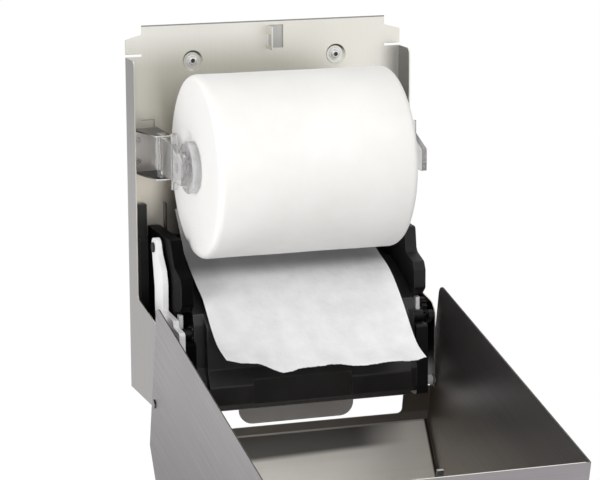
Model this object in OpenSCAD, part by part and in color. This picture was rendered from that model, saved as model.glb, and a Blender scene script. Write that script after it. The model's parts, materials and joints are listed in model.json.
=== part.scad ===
// Lever-operated roll towel dispenser for a wall, with its steel cover hung open.
// Millimetres. X runs to the right, Y into the wall, Z up.
// The origin is the middle of the four wall-screw holes, on the wall's surface.
// A depth is measured from the wall towards the room, along -Y.

/* [Back plate] */
// Width over the side flanges
plate_w = 290; // [286:1:296]
// Height of the plate
plate_h = 368; // [362:1:380]
// Thickness of the plate and of the cover's sheet
sheet_t = 1.2; // [0.8:0.1:1.5]
// Distance between the wall screws, across
screw_gap_x = 151.4; // [140:0.1:165]
// Distance between the wall screws, up and down
screw_gap_z = 160; // [155:1:165]
// From the upper screws to the plate's top edge
screw_below_top = 37.5; // [34:0.5:42]
// Radius of a wall-screw hole
screw_hole_r = 2.6; // [2:0.1:3.2]
// Radius of the dished seat round a screw
dish_r = 11; // [9.5:0.5:12]
// Depth of the dished seat
dish_depth = 2.5; // [1.5:0.1:3.5]
// Depth of the upper side flanges
flange_depth = 31; // [26:1:36]
// Depth of the widened foot of the flanges
foot_depth = 106; // [102:1:110]
// Height of the widened foot at its front
foot_h = 86; // [80:1:92]

/* [Towel roll] */
// Diameter of the towel roll
roll_d = 179; // [150:1:182]
// Width of the towel
towel_w = 200; // [190:1:204]
// How far the roll sits to the right of the middle
roll_shift = -5; // [-7:0.5:7]
// Depth of the roll's axis
roll_depth = 107; // [105:0.5:112]
// Height of the roll's axis
roll_z = -9.5; // [-12:0.5:-6]
// Bore of the cardboard core
core_bore = 40; // [38:1:44]
// Wall of the cardboard core
core_wall = 2.5; // [1.5:0.5:4]
// Thickness of the towel tail
tail_t = 0.5; // [0.3:0.1:0.8]

/* [Roll holder] */
// Reach of the brackets from the wall
bracket_depth = 57; // [55:1:62]
// Height between the bracket's two flanges
bracket_h = 42; // [40:1:46]
// Room between the towel's nearer end and an arm pin
arm_side_room = 17; // [15:0.5:19]
// Depth of the arm pins
arm_pin_depth = 50; // [48:0.5:51]
// Radius of an arm pin
arm_pin_r = 2.5; // [2:0.1:3]
// Thickness of a roll arm
arm_t = 5; // [4:0.5:6]
// Reach of an arm past the roll's axis
arm_nose = 27; // [22:1:28]
// Diameter of a hub's flange
hub_d = 51; // [46:1:56]
// Thickness of a hub's flange
hub_t = 8.2; // [6:0.2:10]
// Length of a hub's plug in the core
plug_len = 8; // [6:0.5:9]

/* [Mechanism] */
// Distance of the cheeks' inner faces from the middle
cheek_x = 114; // [112:0.5:117]
// Thickness of a cheek
cheek_t = 12; // [9:0.5:12.5]
// Depth of the chassis tray
chassis_depth = 14.3; // [12:0.1:17]
// Depth of the lever pivot
lever_depth = 61; // [59:0.5:63]
// Height of the lever pivot
lever_z = -95.5; // [-98:0.5:-93]
// Radius of the lever pin
lever_pin_r = 3; // [2.5:0.1:3.5]
// Thickness of a push lever
lever_t = 6; // [5:0.5:7]
// Angle of the feed shaft forward of straight below the lever pivot
feed_angle = 22; // [20:0.5:24]
// Tooth size of the sector and pinion
gear_module = 1.6; // [1.5:0.05:1.7]
// Radius of the feed sleeves
feed_r = 17; // [15:0.5:18]
// Radius of the pinch sleeves
pinch_r = 12; // [10:0.5:13]
// Radius of the feed and pinch shafts
shaft_r = 4; // [3:0.5:5]
// Half width of the nose
nose_half_w = 104; // [100:0.5:110]
// Room between the pinch sleeves and the nose
nose_room = 15; // [12:0.5:18]
// Wall of the deck and of the nose
shell_t = 3; // [2:0.5:4]
// Half width of the push paddle
paddle_half_w = 60; // [50:1:70]
// Lowest point of the push paddle
paddle_z = -273.5; // [-276:0.5:-266]

/* [Cover] */
// Angle at which the cover hangs open
cover_open = 103; // [95:1:103]
// Depth of the closed cover, inside
cover_depth = 230.7; // [226:0.5:240]
// Depth of the fold between bottom and slanted face
fold_depth = 153.2; // [152:0.2:157]
// Gap between the flanges and the cover's sides
side_gap = 1.5; // [1.5:0.5:3]
// Height of the hinge above the plate's lower edge
hinge_above = 7; // [6:0.5:9]
// Distance of the hinge behind the flange's front edge
hinge_behind = 6.5; // [6:0.5:9]
// Radius of a hinge pin
hinge_pin_r = 3; // [2.5:0.1:3.5]
// Half width of the slot in the bottom wall
slot_half_w = 118; // [112:1:122]
// Strip of bottom wall in front of the slot
slot_lip = 9; // [7:0.5:12]
// Distance of the lock from the middle
lock_x = 14; // [13:0.5:15]
// Depth of the lock
lock_depth = 24; // [23:0.5:25]
// Radius of the lock's barrel
lock_r = 8; // [7:0.5:9]

/* [Hidden] */
$fn = 64;

// Small clearances that the fits share
running_gap = 0.05;
face_gap = 0.3;
cut = 1;

// Levels of the plate
plate_front = dish_depth + sheet_t;
half_w = plate_w / 2;
top_z = screw_gap_z / 2 + screw_below_top;
foot_z = top_z - plate_h;
tab_in = 16.8;
tab_h = 9;
ear_drop = 4.7;
relief_drop = 28.5;
relief_h = 2.5;
flange_top = top_z - relief_drop - relief_h;
shoulder_rise = 12;
keeper_x = 2;
keeper_w = 17.5;
keeper_drop = 5;
keeper_h = 23.3;
keeper_slot_edge = 2.2;
keeper_slot_h = 12;
lance_w = 13;
lance_h = 7.5;
lance_cut = 0.5;
dish_floor_r = dish_r - 2.5;
flange_front = plate_front + flange_depth;
foot_front = plate_front + foot_depth;

// Roll and hubs
roll_r = roll_d / 2;
core_r = core_bore / 2 + core_wall;
hub_r = hub_d / 2;
hub_rim = 3.5;
hub_web = 3;
hub_boss_r = 10;
hub_ribs = 6;
plug_base_r = core_bore / 2 - 2;
plug_tip_r = plug_base_r - 3;
axle_r = 5;
neck_r = 12;
barrel_r = 6;

// Brackets
arm_pin_x = towel_w / 2 + abs(roll_shift) + arm_side_room;
bracket_mid = roll_z + 2;
bracket_low = bracket_mid - bracket_h / 2;
bracket_high = bracket_mid + bracket_h / 2;
bracket_in = arm_pin_x - 9;
bracket_out = half_w - sheet_t - 2.8;
bracket_tip_in = arm_pin_x - 8;
bracket_tip_out = arm_pin_x + 8;
rivet_r = 1.6;
rivet_head_r = 3;
rivet_head_t = 1.4;
rivet_x = bracket_out - 7;
rivet_rise = bracket_h / 4;
pin_head_t = 1.4;
pin_head_r = arm_pin_r + 2;
lance_in = arm_pin_x - 5.5;
lance_low = bracket_high + sheet_t + 0.5;

// Arm: barrel, blade and cross rib
arm_x = arm_pin_x + 1;
barrel_low = bracket_low + 8.5;
barrel_high = bracket_high - face_gap;
arm_tip = roll_depth + arm_nose;
arm_rib_depth = roll_depth - 8;
arm_rib_t = 4;
arm_rib_w = 6;
arm_rib_up = 33;
arm_rib_down = 22;

// Mechanism levels
chassis_half_w = half_w - sheet_t - 2.8;
chassis_front = plate_front + chassis_depth;
chassis_wall = 4;
chassis_floor = plate_front + chassis_wall;
chassis_top = lever_z + 0.5;
chassis_low = foot_z + 4.5;
cheek_low = chassis_low + 6;
cheek_top = lever_z + 11.5;
cheek_out = cheek_x + cheek_t;
lever_gap = 2.5;
lever_in = cheek_out + lever_gap;
lever_out = lever_in + lever_t;
lever_eye_r = 9.5;
ear_w = 13;
ear_depth = 8;
ear_top = lever_z + 34;
rib_x = chassis_half_w - 33;
rib_t = 1.6;
chassis_screw_r = 2;
chassis_screw_x = 100;
chassis_screw_zs = [chassis_top - 12, chassis_low + 22];

// Gears: an internal sector on the right lever drives a pinion on the feed shaft
pinion_teeth = 12;
sector_teeth = 114;
pressure_angle = 20;
flank_play = 0.15;
gear_gap = gear_module * (sector_teeth - pinion_teeth) / 2;
pinion_pitch_r = gear_module * pinion_teeth / 2;
sector_pitch_r = gear_module * sector_teeth / 2;
pinion_tip_r = pinion_pitch_r + gear_module;
pinion_root_r = pinion_pitch_r - 0.85 * gear_module;
sector_tip_r = sector_pitch_r - 0.6 * gear_module;
sector_root_r = sector_pitch_r + 1.25 * gear_module;
push_angle = 11;
window_margin = 10;
window_ahead = 6.5;
window_in_r = gear_gap - pinion_tip_r - 1.3;
sector_t = 5;
sector_pad = 9;
sector_ahead = 4.8;
sector_in_r = sector_tip_r - 5;
sector_out_r = sector_root_r + 6;
sector_screw_r = 1.5;
sector_screw_at = (sector_in_r + sector_out_r) / 2;
sector_screw_angles = [feed_angle - window_margin - 6.5, feed_angle - window_margin - 2.5];
feed_depth = lever_depth + gear_gap * sin(feed_angle);
feed_z = lever_z - gear_gap * cos(feed_angle);
nip_gap = 0.4;
pinch_depth = feed_depth + feed_r + pinch_r + nip_gap;
pinch_z = feed_z;
sleeve_len = 50;
sleeve_xs = [-70, 0, 70];
bush_r = shaft_r + 1.5;
pinch_clip_w = 4;
notch_depth = pinch_depth - 11;
notch_top = pinch_z + 20;
notch_low = pinch_z - bush_r - face_gap;

// Deck and nose under the tail
deck_front = pinch_depth + 6;
deck_z = lever_z - 25.5;
deck_mid = [lever_depth + 39, deck_z - 14];
deck_end_z = deck_z - 29.5;
nose_depth = pinch_depth + pinch_r + nose_room + shell_t;
nose_low = cheek_low - 5;
nose_top = deck_end_z - 0.5;
nose_step = 2.5;
nose_step_left = -60;
nose_step_right = 41;
nose_band_high = nose_top - 53;
nose_band_low = nose_top - 69;
nose_wall = shell_t + 1.5;
nose_set = 11;
nose_step_low = nose_low + 5;
nose_lip = 15;
tear_teeth = 41;
tear_pitch = 5;
tear_tooth_h = 4;
tear_plate = 10;

// Levers, cross bar and paddle
bar_depth = lever_depth + 29;
bar_t = 8;
bar_z = cheek_low - 10;
bar_h = 8;
lug_half_w = 10;
lug_t = 3;
lug_h = 22;
paddle_t = 3;
paddle_corner = 14;
paddle_top = bar_z + bar_h + 2;
paddle_screw_x = 35;
paddle_screw_r = 2;
paddle_screw_head_r = 4;
lever_end = bar_z;
toe_low = bar_z + 1;
toe_rear = bar_depth + bar_t + paddle_t + 6;
spring_z = bar_z + bar_h + 12;
spring_wire = 1.4;
spring_r = 6;
spring_turns = 15;
spring_post_r = 4;
spring_post = 12;
arm_spring_wire = 1.2;
arm_spring_turns = 4;
arm_spring_r = arm_pin_r + 2;
clip_t = 1.5;
clip_r = 5;
collar_r = 7;

// Cover levels, in the closed position
hinge_depth = foot_front - hinge_behind;
hinge_z = foot_z + hinge_above;
cover_low = foot_z - 1.5;
cover_top = top_z + 2;
cover_side = half_w + side_gap;
cover_rear = 1;
cover_tip_r = 10;
slant_angle = 45;
slant_rise = (cover_depth - fold_depth) * tan(slant_angle);
margin_rear = hinge_depth + hinge_behind + 5.5;
slot_corner = 5;
hinge_head_r = 4.5;
hinge_head_t = 1.2;
hinge_bush_r = 5;
hinge_bush_len = 6;
lock_flange_r = lock_r + 2;
lock_flange_t = 2.5;
lock_low = cover_top - 18.5;
lock_nut_t = 6;
cam_len = 18;
cam_w = 6;
cam_t = 2.5;
cam_pin_r = 3;

// Unit vector of v
function unit(v) = v / norm(v);

// Points of corner b between a and c, rounded with radius r
function corner_arc(a, b, c, r, steps = 6) =
    r == 0 ? [b] :
    let (
        u = unit(a - b),
        w = unit(c - b),
        half = acos(u * w) / 2,
        centre = b + unit(u + w) * r / sin(half),
        start = b + u * r / tan(half) - centre,
        end = b + w * r / tan(half) - centre,
        a0 = atan2(start[1], start[0]),
        turn = atan2(end[1], end[0]) - a0,
        sweep = turn > 180 ? turn - 360 : turn < -180 ? turn + 360 : turn
    )
    [for (i = [0:steps]) centre + r * [cos(a0 + sweep * i / steps), sin(a0 + sweep * i / steps)]];

// Outline of corners given as [x, y, radius]
function rounded(corners) =
    let (n = len(corners), flat = [for (p = corners) [p[0], p[1]]])
    [for (i = [0:n - 1]) each corner_arc(flat[(i + n - 1) % n], flat[i], flat[(i + 1) % n], corners[i][2])];

// Involute function, in degrees
function involute(a) = tan(a) * 180 / PI - a;

// Half angle of a gear tooth at radius r
function tooth_half(teeth, r, play) =
    let (
        pitch_r = gear_module * teeth / 2,
        base_r = pitch_r * cos(pressure_angle),
        roll = r > base_r ? acos(base_r / r) : 0
    )
    90 / teeth + play / pitch_r * 180 / PI + involute(pressure_angle) - involute(roll);

// Points over one tooth centred at an angle, from root to tip and back
function tooth(teeth, centre, root_r, tip_r, play, steps = 5) = [
    for (side = [-1, 1])
        for (i = [0:steps])
            let (
                share = side < 0 ? i / steps : 1 - i / steps,
                r = root_r + (tip_r - root_r) * share,
                a = centre + side * tooth_half(teeth, r, play)
            )
            r * [cos(a), sin(a)]
];

// Point of a smooth curve through a list of points, at place s in steps
function on_curve(points, s) =
    let (
        last = len(points) - 1,
        i = min(floor(s), last - 1),
        t = s - i,
        p0 = points[max(i - 1, 0)],
        p1 = points[i],
        p2 = points[i + 1],
        p3 = points[min(i + 2, last)]
    )
    0.5 * (2 * p1 + (p2 - p0) * t + (2 * p0 - 5 * p1 + 4 * p2 - p3) * t * t
        + (3 * p1 - p0 - 3 * p2 + p3) * t * t * t);

// Points along a spring's wire, wound about Z from z = 0
spring_steps = 8;
function spring_points(turns, r, pitch) = [
    for (i = [0:turns * spring_steps])
        let (a = 360 * i / spring_steps)
        [r * cos(a), r * sin(a), pitch * i / spring_steps]
];

// Least gap between neighbouring turns of a spring
function spring_gap(points, wire) =
    min([for (i = [0:len(points) - 1])
        for (j = [i + spring_steps / 2:1:len(points) - 1]) norm(points[i] - points[j])]) - wire;

// A spring's wire as one tube of six sides
module spring(turns, r, pitch, wire) {
    sides = 6;
    points = spring_points(turns, r, pitch);
    rings = len(points);
    echo(least_spring_gap = spring_gap(points, wire));
    vertices = [
        for (i = [0:rings - 1])
            let (
                a = 360 * i / spring_steps,
                along = unit([-sin(a) * 2 * PI * r, cos(a) * 2 * PI * r, pitch]),
                out = [cos(a), sin(a), 0],
                up = cross(along, out)
            )
            for (k = [0:sides - 1])
                points[i] + wire / 2 * (cos(360 * k / sides) * out + sin(360 * k / sides) * up)
    ];
    walls = [
        for (i = [0:rings - 2])
            for (k = [0:sides - 1])
                let (n = (k + 1) % sides, a = i * sides, b = a + sides)
                each [[a + k, a + n, b + n], [a + k, b + n, b + k]]
    ];
    ends = [
        for (k = [1:sides - 2])
            each [[0, k + 1, k], let (e = (rings - 1) * sides) [e, e + k, e + k + 1]]
    ];
    polyhedron(vertices, concat(walls, ends));
}

// A plate square to X, from an outline in depth and height
module plate_x(x, t) {
    translate([x, 0, 0])
        rotate([90, 0, 90])
            linear_extrude(t)
                mirror([1, 0])
                    children();
}

// A plate square to Z, from an outline in X and depth
module plate_z(z, t) {
    translate([0, 0, z])
        linear_extrude(t)
            mirror([0, 1])
                children();
}

// A rod along X between two places
module rod_x(x0, x1, depth, z, r) {
    translate([min(x0, x1), -depth, z])
        rotate([0, 90, 0])
            cylinder(h = abs(x1 - x0), r = r);
}

// A rod along the depth between two depths
module rod_y(depth0, depth1, x, z, r) {
    translate([x, -depth0, z])
        rotate([90, 0, 0])
            cylinder(h = depth1 - depth0, r = r);
}

// A block from its X, depth and Z limits
module block(x0, x1, depth0, depth1, z0, z1) {
    translate([x0, -depth1, z0])
        cube([x1 - x0, depth1 - depth0, z1 - z0]);
}

// A right-hand piece, turned over for the left side
module on_side(side) {
    mirror([side < 0 ? 1 : 0, 0, 0])
        children();
}

// Places of the four wall screws
module at_wall_screws() {
    for (x = [-screw_gap_x / 2, screw_gap_x / 2])
        for (z = [-screw_gap_z / 2, screw_gap_z / 2])
            translate([x, 0, z])
                rotate([90, 0, 0])
                    children();
}

// One bent flange of the plate with its widened foot
module side_flange() {
    difference() {
        plate_x(half_w - sheet_t, sheet_t)
            polygon(rounded([
                [dish_depth, flange_top, 0],
                [flange_front, flange_top, 6],
                [flange_front, foot_z + foot_h + shoulder_rise, 6],
                [foot_front, foot_z + foot_h, 14],
                [foot_front, foot_z, 2],
                [dish_depth, foot_z, 0]
            ]));
        rod_x(half_w - sheet_t - cut, half_w + cut, hinge_depth, hinge_z, hinge_pin_r);
    }
}

// Flat blank of the plate, with ears, relief cuts, lanced tabs and the keeper window
module plate_blank() {
    tab_x = half_w - tab_in;
    ear_z = top_z - tab_h - ear_drop;
    difference() {
        translate([0, -dish_depth, 0])
            rotate([90, 0, 0])
                linear_extrude(sheet_t)
                    polygon(rounded([
                        [-tab_x, top_z, 0], [tab_x, top_z, 0],
                        [tab_x, top_z - tab_h, 1], [half_w, ear_z, 2],
                        [half_w, foot_z, 0], [-half_w, foot_z, 0],
                        [-half_w, ear_z, 2], [-tab_x, top_z - tab_h, 1]
                    ]));
        for (side = [-1, 1])
            on_side(side)
                block(tab_x, half_w + cut, dish_depth - cut, plate_front + cut,
                    flange_top, flange_top + relief_h);
        block(keeper_x + sheet_t, keeper_x + keeper_w, dish_depth - cut, plate_front + cut,
            top_z - keeper_drop - keeper_h, top_z - keeper_drop);
        for (side = [-1, 1])
            on_side(side) {
                block(lance_in, lance_in + lance_w, dish_depth - cut, plate_front + cut,
                    lance_low + lance_h - lance_cut, lance_low + lance_h);
                block(lance_in, lance_in + lance_cut, dish_depth - cut, plate_front + cut,
                    lance_low, lance_low + lance_h);
            }
    }
}

module back_plate() {
    color("lightgray") {
        difference() {
            plate_blank();
            at_wall_screws()
                translate([0, 0, -cut])
                    cylinder(h = plate_front + 2 * cut, r = dish_r - sheet_t / 2);
            for (side = [-1, 1])
                for (z = [-rivet_rise, rivet_rise])
                    rod_y(dish_depth - cut, plate_front + cut, side * rivet_x, bracket_mid + z, rivet_r);
            for (x = [-chassis_screw_x, chassis_screw_x])
                for (z = chassis_screw_zs)
                    rod_y(dish_depth - cut, plate_front + cut, x, z, chassis_screw_r);
        }
        at_wall_screws()
            rotate_extrude()
                polygon([
                    [screw_hole_r, 0], [dish_floor_r, 0], [dish_r, dish_depth],
                    [dish_r, plate_front], [dish_floor_r, sheet_t], [screw_hole_r, sheet_t]
                ]);
        for (side = [-1, 1])
            on_side(side)
                side_flange();
        difference() {
            block(keeper_x, keeper_x + sheet_t, dish_depth, plate_front + keeper_w,
                top_z - keeper_drop - keeper_h, top_z - keeper_drop);
            block(keeper_x - cut, keeper_x + sheet_t + cut, plate_front + keeper_slot_edge,
                plate_front + keeper_w - keeper_slot_edge,
                lock_low - cam_t - keeper_slot_h / 2, lock_low - cam_t + keeper_slot_h / 2);
        }
    }
}

// A bent steel channel, closed at the plate, that carries one roll arm
module bracket(side) {
    color("silver")
        on_side(side)
            difference() {
                union() {
                    block(bracket_in, bracket_out, plate_front, plate_front + sheet_t,
                        bracket_low - sheet_t, bracket_high + sheet_t);
                    for (z = [bracket_low - sheet_t, bracket_high])
                        plate_z(z, sheet_t)
                            polygon(rounded([
                                [bracket_in, plate_front, 0], [bracket_out, plate_front, 0],
                                [bracket_tip_out, bracket_depth, 2], [bracket_tip_in, bracket_depth, 2]
                            ]));
                }
                translate([arm_pin_x, -arm_pin_depth, bracket_low - sheet_t - cut])
                    cylinder(h = bracket_h + 2 * (sheet_t + cut), r = arm_pin_r);
                for (z = [-rivet_rise, rivet_rise])
                    rod_y(plate_front - cut, plate_front + sheet_t + cut, rivet_x, bracket_mid + z, rivet_r);
            }
}

module bracket_rivets() {
    color("gainsboro")
        for (side = [-1, 1])
            for (z = [-rivet_rise, rivet_rise]) {
                rod_y(dish_depth, plate_front + sheet_t, side * rivet_x, bracket_mid + z, rivet_r);
                rod_y(plate_front + sheet_t, plate_front + sheet_t + rivet_head_t,
                    side * rivet_x, bracket_mid + z, rivet_head_r);
            }
}

module arm_pin(side) {
    color("gray")
        translate([side * arm_pin_x, -arm_pin_depth, bracket_low - sheet_t]) {
            cylinder(h = bracket_h + 2 * sheet_t, r = arm_pin_r);
            for (z = [-pin_head_t, bracket_h + 2 * sheet_t])
                translate([0, 0, z])
                    cylinder(h = pin_head_t, r = pin_head_r);
        }
}

// Torsion spring round the arm pin, below the arm's barrel
module arm_spring(side) {
    room = barrel_low - bracket_low - 2 * face_gap - arm_spring_wire;
    color("dimgray")
        translate([side * arm_pin_x, -arm_pin_depth, bracket_low + face_gap + arm_spring_wire / 2])
            spring(arm_spring_turns, arm_spring_r, room / arm_spring_turns, arm_spring_wire);
}

// A clear arm: barrel on its pin, blade forward past the roll's axis, rib, neck and axle
module arm(side) {
    hub_face = hub_outer(side);
    color("whitesmoke")
        on_side(side)
            difference() {
                union() {
                    plate_x(arm_x - arm_t / 2, arm_t)
                        polygon(rounded([
                            [arm_pin_depth, barrel_low, 0], [arm_pin_depth, barrel_high, 0],
                            [arm_rib_depth, barrel_high, 2], [arm_tip, roll_z + 9, 2],
                            [arm_tip, roll_z - 13, 2], [bracket_depth + 4, roll_z - 13, 2],
                            [bracket_depth + 2, barrel_low, 0]
                        ]));
                    translate([arm_pin_x, -arm_pin_depth, barrel_low])
                        cylinder(h = barrel_high - barrel_low, r = barrel_r);
                    block(arm_x - arm_rib_w / 2, arm_x + arm_rib_w / 2, arm_rib_depth,
                        arm_rib_depth + arm_rib_t, roll_z - arm_rib_down, roll_z + arm_rib_up);
                    rod_x(hub_face + face_gap, arm_x, roll_depth, roll_z, neck_r);
                    rod_x(hub_face - hub_t - plug_len + 1, arm_x, roll_depth, roll_z, axle_r);
                }
                translate([arm_pin_x, -arm_pin_depth, barrel_low - cut])
                    cylinder(h = barrel_high - barrel_low + 2 * cut, r = arm_pin_r + running_gap);
            }
}

// Distance of a hub's outer face from the middle
function hub_outer(side) = towel_w / 2 + side * roll_shift + face_gap + hub_t;

// A clear hub: flange with rim and ribs outside, tapered plug in the core
module hub(side) {
    color("ghostwhite")
        on_side(side)
            translate([hub_outer(side), -roll_depth, roll_z])
                rotate([0, -90, 0])
                    difference() {
                        union() {
                            rotate_extrude()
                                polygon([
                                    [0, 0], [hub_boss_r, 0], [hub_boss_r, hub_t - hub_web],
                                    [hub_r - hub_rim, hub_t - hub_web], [hub_r - hub_rim, 0],
                                    [hub_r - 1, 0], [hub_r, 1], [hub_r, hub_t],
                                    [plug_base_r, hub_t], [plug_tip_r, hub_t + plug_len], [0, hub_t + plug_len]
                                ]);
                            for (i = [0:hub_ribs - 1])
                                rotate([0, 0, 360 / hub_ribs * i])
                                    translate([hub_boss_r - 1, -1, 1])
                                        cube([hub_r - hub_rim - hub_boss_r + 2, 2, hub_t - hub_web]);
                        }
                        translate([0, 0, -cut])
                            cylinder(h = hub_t + plug_len + 2 * cut, r = axle_r + running_gap);
                    }
}

module roll_core() {
    x0 = roll_shift - towel_w / 2;
    color("tan")
        difference() {
            rod_x(x0, x0 + towel_w, roll_depth, roll_z, core_r);
            rod_x(x0 - cut, x0 + towel_w + cut, roll_depth, roll_z, core_bore / 2);
        }
}

module towel_roll() {
    x0 = roll_shift - towel_w / 2;
    color("white")
        difference() {
            rod_x(x0, x0 + towel_w, roll_depth, roll_z, roll_r);
            rod_x(x0 - cut, x0 + towel_w + cut, roll_depth, roll_z, core_r);
        }
}

// The towel's loose end: its two edges in depth and height, from the roll to the torn edge
tail_off = roll_r + face_gap + tail_t;
tail_start = [roll_depth - 0.8 * tail_off, roll_z - 0.6 * tail_off];
tail_behind = [roll_depth - 0.653 * tail_off, roll_z - 0.814 * tail_off];
tail_left = [
    tail_start, tail_behind, [lever_depth + 2, deck_z + 16], deck_mid + [0, 8],
    [deck_front - 5, deck_end_z + 11.5], [nose_depth - 3, nose_top - 11],
    [nose_depth + 17, nose_top - 24], [nose_depth + 44, nose_top - 31]
];
tail_right = [
    tail_start, tail_behind, [lever_depth - 1, deck_z + 14], deck_mid + [7, 9],
    [nose_depth - 11, nose_top + 1], [nose_depth + 14, nose_top - 23],
    [nose_depth + 31, nose_top - 36], [nose_depth + 56, nose_top - 43]
];
tail_columns = 16;
tail_rows = 28;
tail_sag = 7;
tail_droop = 7;

// Share of the length that is left at each place across the torn edge
function tail_torn(u) = 0.975 + 0.012 * sin(520 * u + 40) + 0.01 * sin(1700 * u);

// Middle surface of the tail at u across and v along
function tail_place(u, v) =
    let (
        s = v * tail_torn(u) * (len(tail_left) - 1),
        p = on_curve(tail_left, s) * (1 - u) + on_curve(tail_right, s) * u
    )
    [
        (u - 0.5) * towel_w + roll_shift * (1 - v),
        -p[0],
        p[1] - tail_sag * sin(180 * u) * v * v - tail_droop * exp(-pow((u - 0.29) / 0.12, 2)) * pow(v, 5)
    ];

module towel_tail() {
    step = 0.01;
    across = tail_columns + 1;
    layer = across * (tail_rows + 1);
    vertices = [
        for (face = [-1, 1])
            for (j = [0:tail_rows])
                for (i = [0:tail_columns])
                    let (
                        u = i / tail_columns,
                        v = j / tail_rows,
                        ahead = tail_place(u, min(v + step, 1)) - tail_place(u, max(v - step, 0)),
                        out = unit([0, ahead[2], -ahead[1]])
                    )
                    tail_place(u, v) + face * tail_t / 2 * out
    ];
    skins = [
        for (j = [0:tail_rows - 1])
            for (i = [0:tail_columns - 1])
                let (a = j * across + i, b = a + 1, c = a + across, d = c + 1)
                each [
                    [a, b, d], [a, d, c],
                    [layer + a, layer + d, layer + b], [layer + a, layer + c, layer + d]
                ]
    ];
    side_edges = [
        for (j = [0:tail_rows - 1])
            let (a = j * across, c = a + across, b = a + tail_columns, d = b + across)
            each [
                [a, c, layer + c], [a, layer + c, layer + a],
                [b, layer + d, d], [b, layer + b, layer + d]
            ]
    ];
    end_edges = [
        for (i = [0:tail_columns - 1])
            let (a = i, b = i + 1, c = tail_rows * across + i, d = c + 1)
            each [
                [a, layer + b, b], [a, layer + a, layer + b],
                [c, d, layer + d], [c, layer + d, layer + c]
            ]
    ];
    color("white")
        polyhedron(vertices, concat(skins, side_edges, end_edges));
}

// Black tray on the plate that carries the mechanism, with an ear and a thin rib at each top corner
module chassis_back() {
    color("dimgray") {
        difference() {
            block(-chassis_half_w, chassis_half_w, plate_front, chassis_front, chassis_low, chassis_top);
            block(-chassis_half_w + chassis_wall, chassis_half_w - chassis_wall, chassis_floor,
                chassis_front + cut, chassis_low + chassis_wall, chassis_top + cut);
            for (x = [-chassis_screw_x, chassis_screw_x])
                for (z = chassis_screw_zs)
                    rod_y(plate_front - cut, chassis_floor + cut, x, z, chassis_screw_r);
        }
        rod_y(chassis_floor, chassis_floor + spring_post, 0, spring_z, spring_post_r);
        for (side = [-1, 1])
            on_side(side) {
                block(chassis_half_w - ear_w, chassis_half_w, plate_front, plate_front + ear_depth,
                    chassis_top - chassis_wall, ear_top);
                block(rib_x - rib_t / 2, rib_x + rib_t / 2, plate_front, plate_front + ear_depth,
                    chassis_top - chassis_wall, ear_top);
            }
    }
}

module chassis_screws() {
    head_r = chassis_screw_r + 2;
    head_t = 2;
    color("silver")
        for (x = [-chassis_screw_x, chassis_screw_x])
            for (z = chassis_screw_zs) {
                rod_y(dish_depth, chassis_floor, x, z, chassis_screw_r);
                rod_y(chassis_floor, chassis_floor + head_t, x, z, head_r);
            }
}

// Side wall of the mechanism, notched for the pinch roller's bush, with a toe in front of the cross bar
module cheek(side) {
    color("black")
        on_side(side)
            difference() {
                plate_x(cheek_x, cheek_t)
                    polygon(rounded([
                        [chassis_floor, cheek_top, 0], [lever_depth + (side < 0 ? 30 : 41), cheek_top, 4],
                        [lever_depth + 45, lever_z - 12.5, 6], [notch_depth + 17, lever_z - 19.5, 6],
                        [notch_depth + 21, lever_z - 27, 4], [notch_depth + 21, notch_top + 10, 4],
                        [notch_depth + 12, notch_top + 2, 3], [notch_depth, notch_top, 0],
                        [notch_depth, notch_low, 0], [nose_depth - 13, notch_low, 3],
                        [nose_depth - 12, toe_low, 5], [toe_rear, toe_low, 3],
                        [toe_rear, cheek_low, 0], [chassis_floor, cheek_low, 0]
                    ]));
                rod_x(cheek_x - cut, cheek_out + cut, lever_depth, lever_z, lever_pin_r);
                rod_x(cheek_x - cut, cheek_out + cut, feed_depth, feed_z, shaft_r + running_gap);
            }
}

// Deck between the cheeks that the towel slides over
module paper_deck() {
    color("black")
        plate_x(-cheek_x, 2 * cheek_x)
            polygon([
                [chassis_floor, deck_z], [lever_depth, deck_z], deck_mid, [deck_front, deck_end_z],
                [deck_front, deck_end_z - shell_t], deck_mid - [0, shell_t],
                [lever_depth, deck_z - shell_t], [chassis_floor, deck_z - shell_t]
            ]);
}

// Section of the nose's shell whose front is at the given depth
function nose_section(front) = rounded([
    [deck_front, nose_top - shell_t, 0], [deck_front, nose_top, 0],
    [front - 9, nose_top - 10, 8], [front - 8, nose_band_high, 4],
    [front, nose_band_low, 5], [front, nose_low + 7, 5], [front - 5, nose_low, 3],
    [front - nose_lip, nose_low, 0], [front - nose_lip, nose_low + shell_t, 0],
    [front - nose_wall - 3, nose_low + shell_t, 2], [front - nose_wall, nose_low + 9, 3],
    [front - nose_wall, nose_band_low + 1, 3], [front - 8 - nose_wall, nose_band_high + 1, 3],
    [front - 9 - nose_wall, nose_top - 13, 5]
]);

// Rounded nose in front of the rollers: set back at its ends, with a recessed middle field
module nose_cover() {
    color("black")
        difference() {
            union() {
                plate_x(-nose_half_w, 2 * nose_half_w)
                    polygon(nose_section(nose_depth));
                for (side = [-1, 1])
                    on_side(side) {
                        plate_x(nose_half_w - shell_t, cheek_x - nose_half_w + shell_t)
                            polygon(nose_section(nose_depth - nose_set));
                        plate_x(nose_half_w - shell_t, shell_t)
                            polygon(rounded([
                                [nose_depth - nose_lip, nose_top - 7, 0], [nose_depth - 9, nose_top - 10, 8],
                                [nose_depth - 8, nose_band_high, 4], [nose_depth, nose_band_low, 5],
                                [nose_depth, nose_low + 7, 5], [nose_depth - 5, nose_low, 3],
                                [nose_depth - nose_lip, nose_low, 0]
                            ]));
                    }
            }
            block(nose_step_left, nose_step_right, nose_depth - nose_step, nose_depth + cut,
                nose_step_low, nose_band_high);
        }
}

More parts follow.
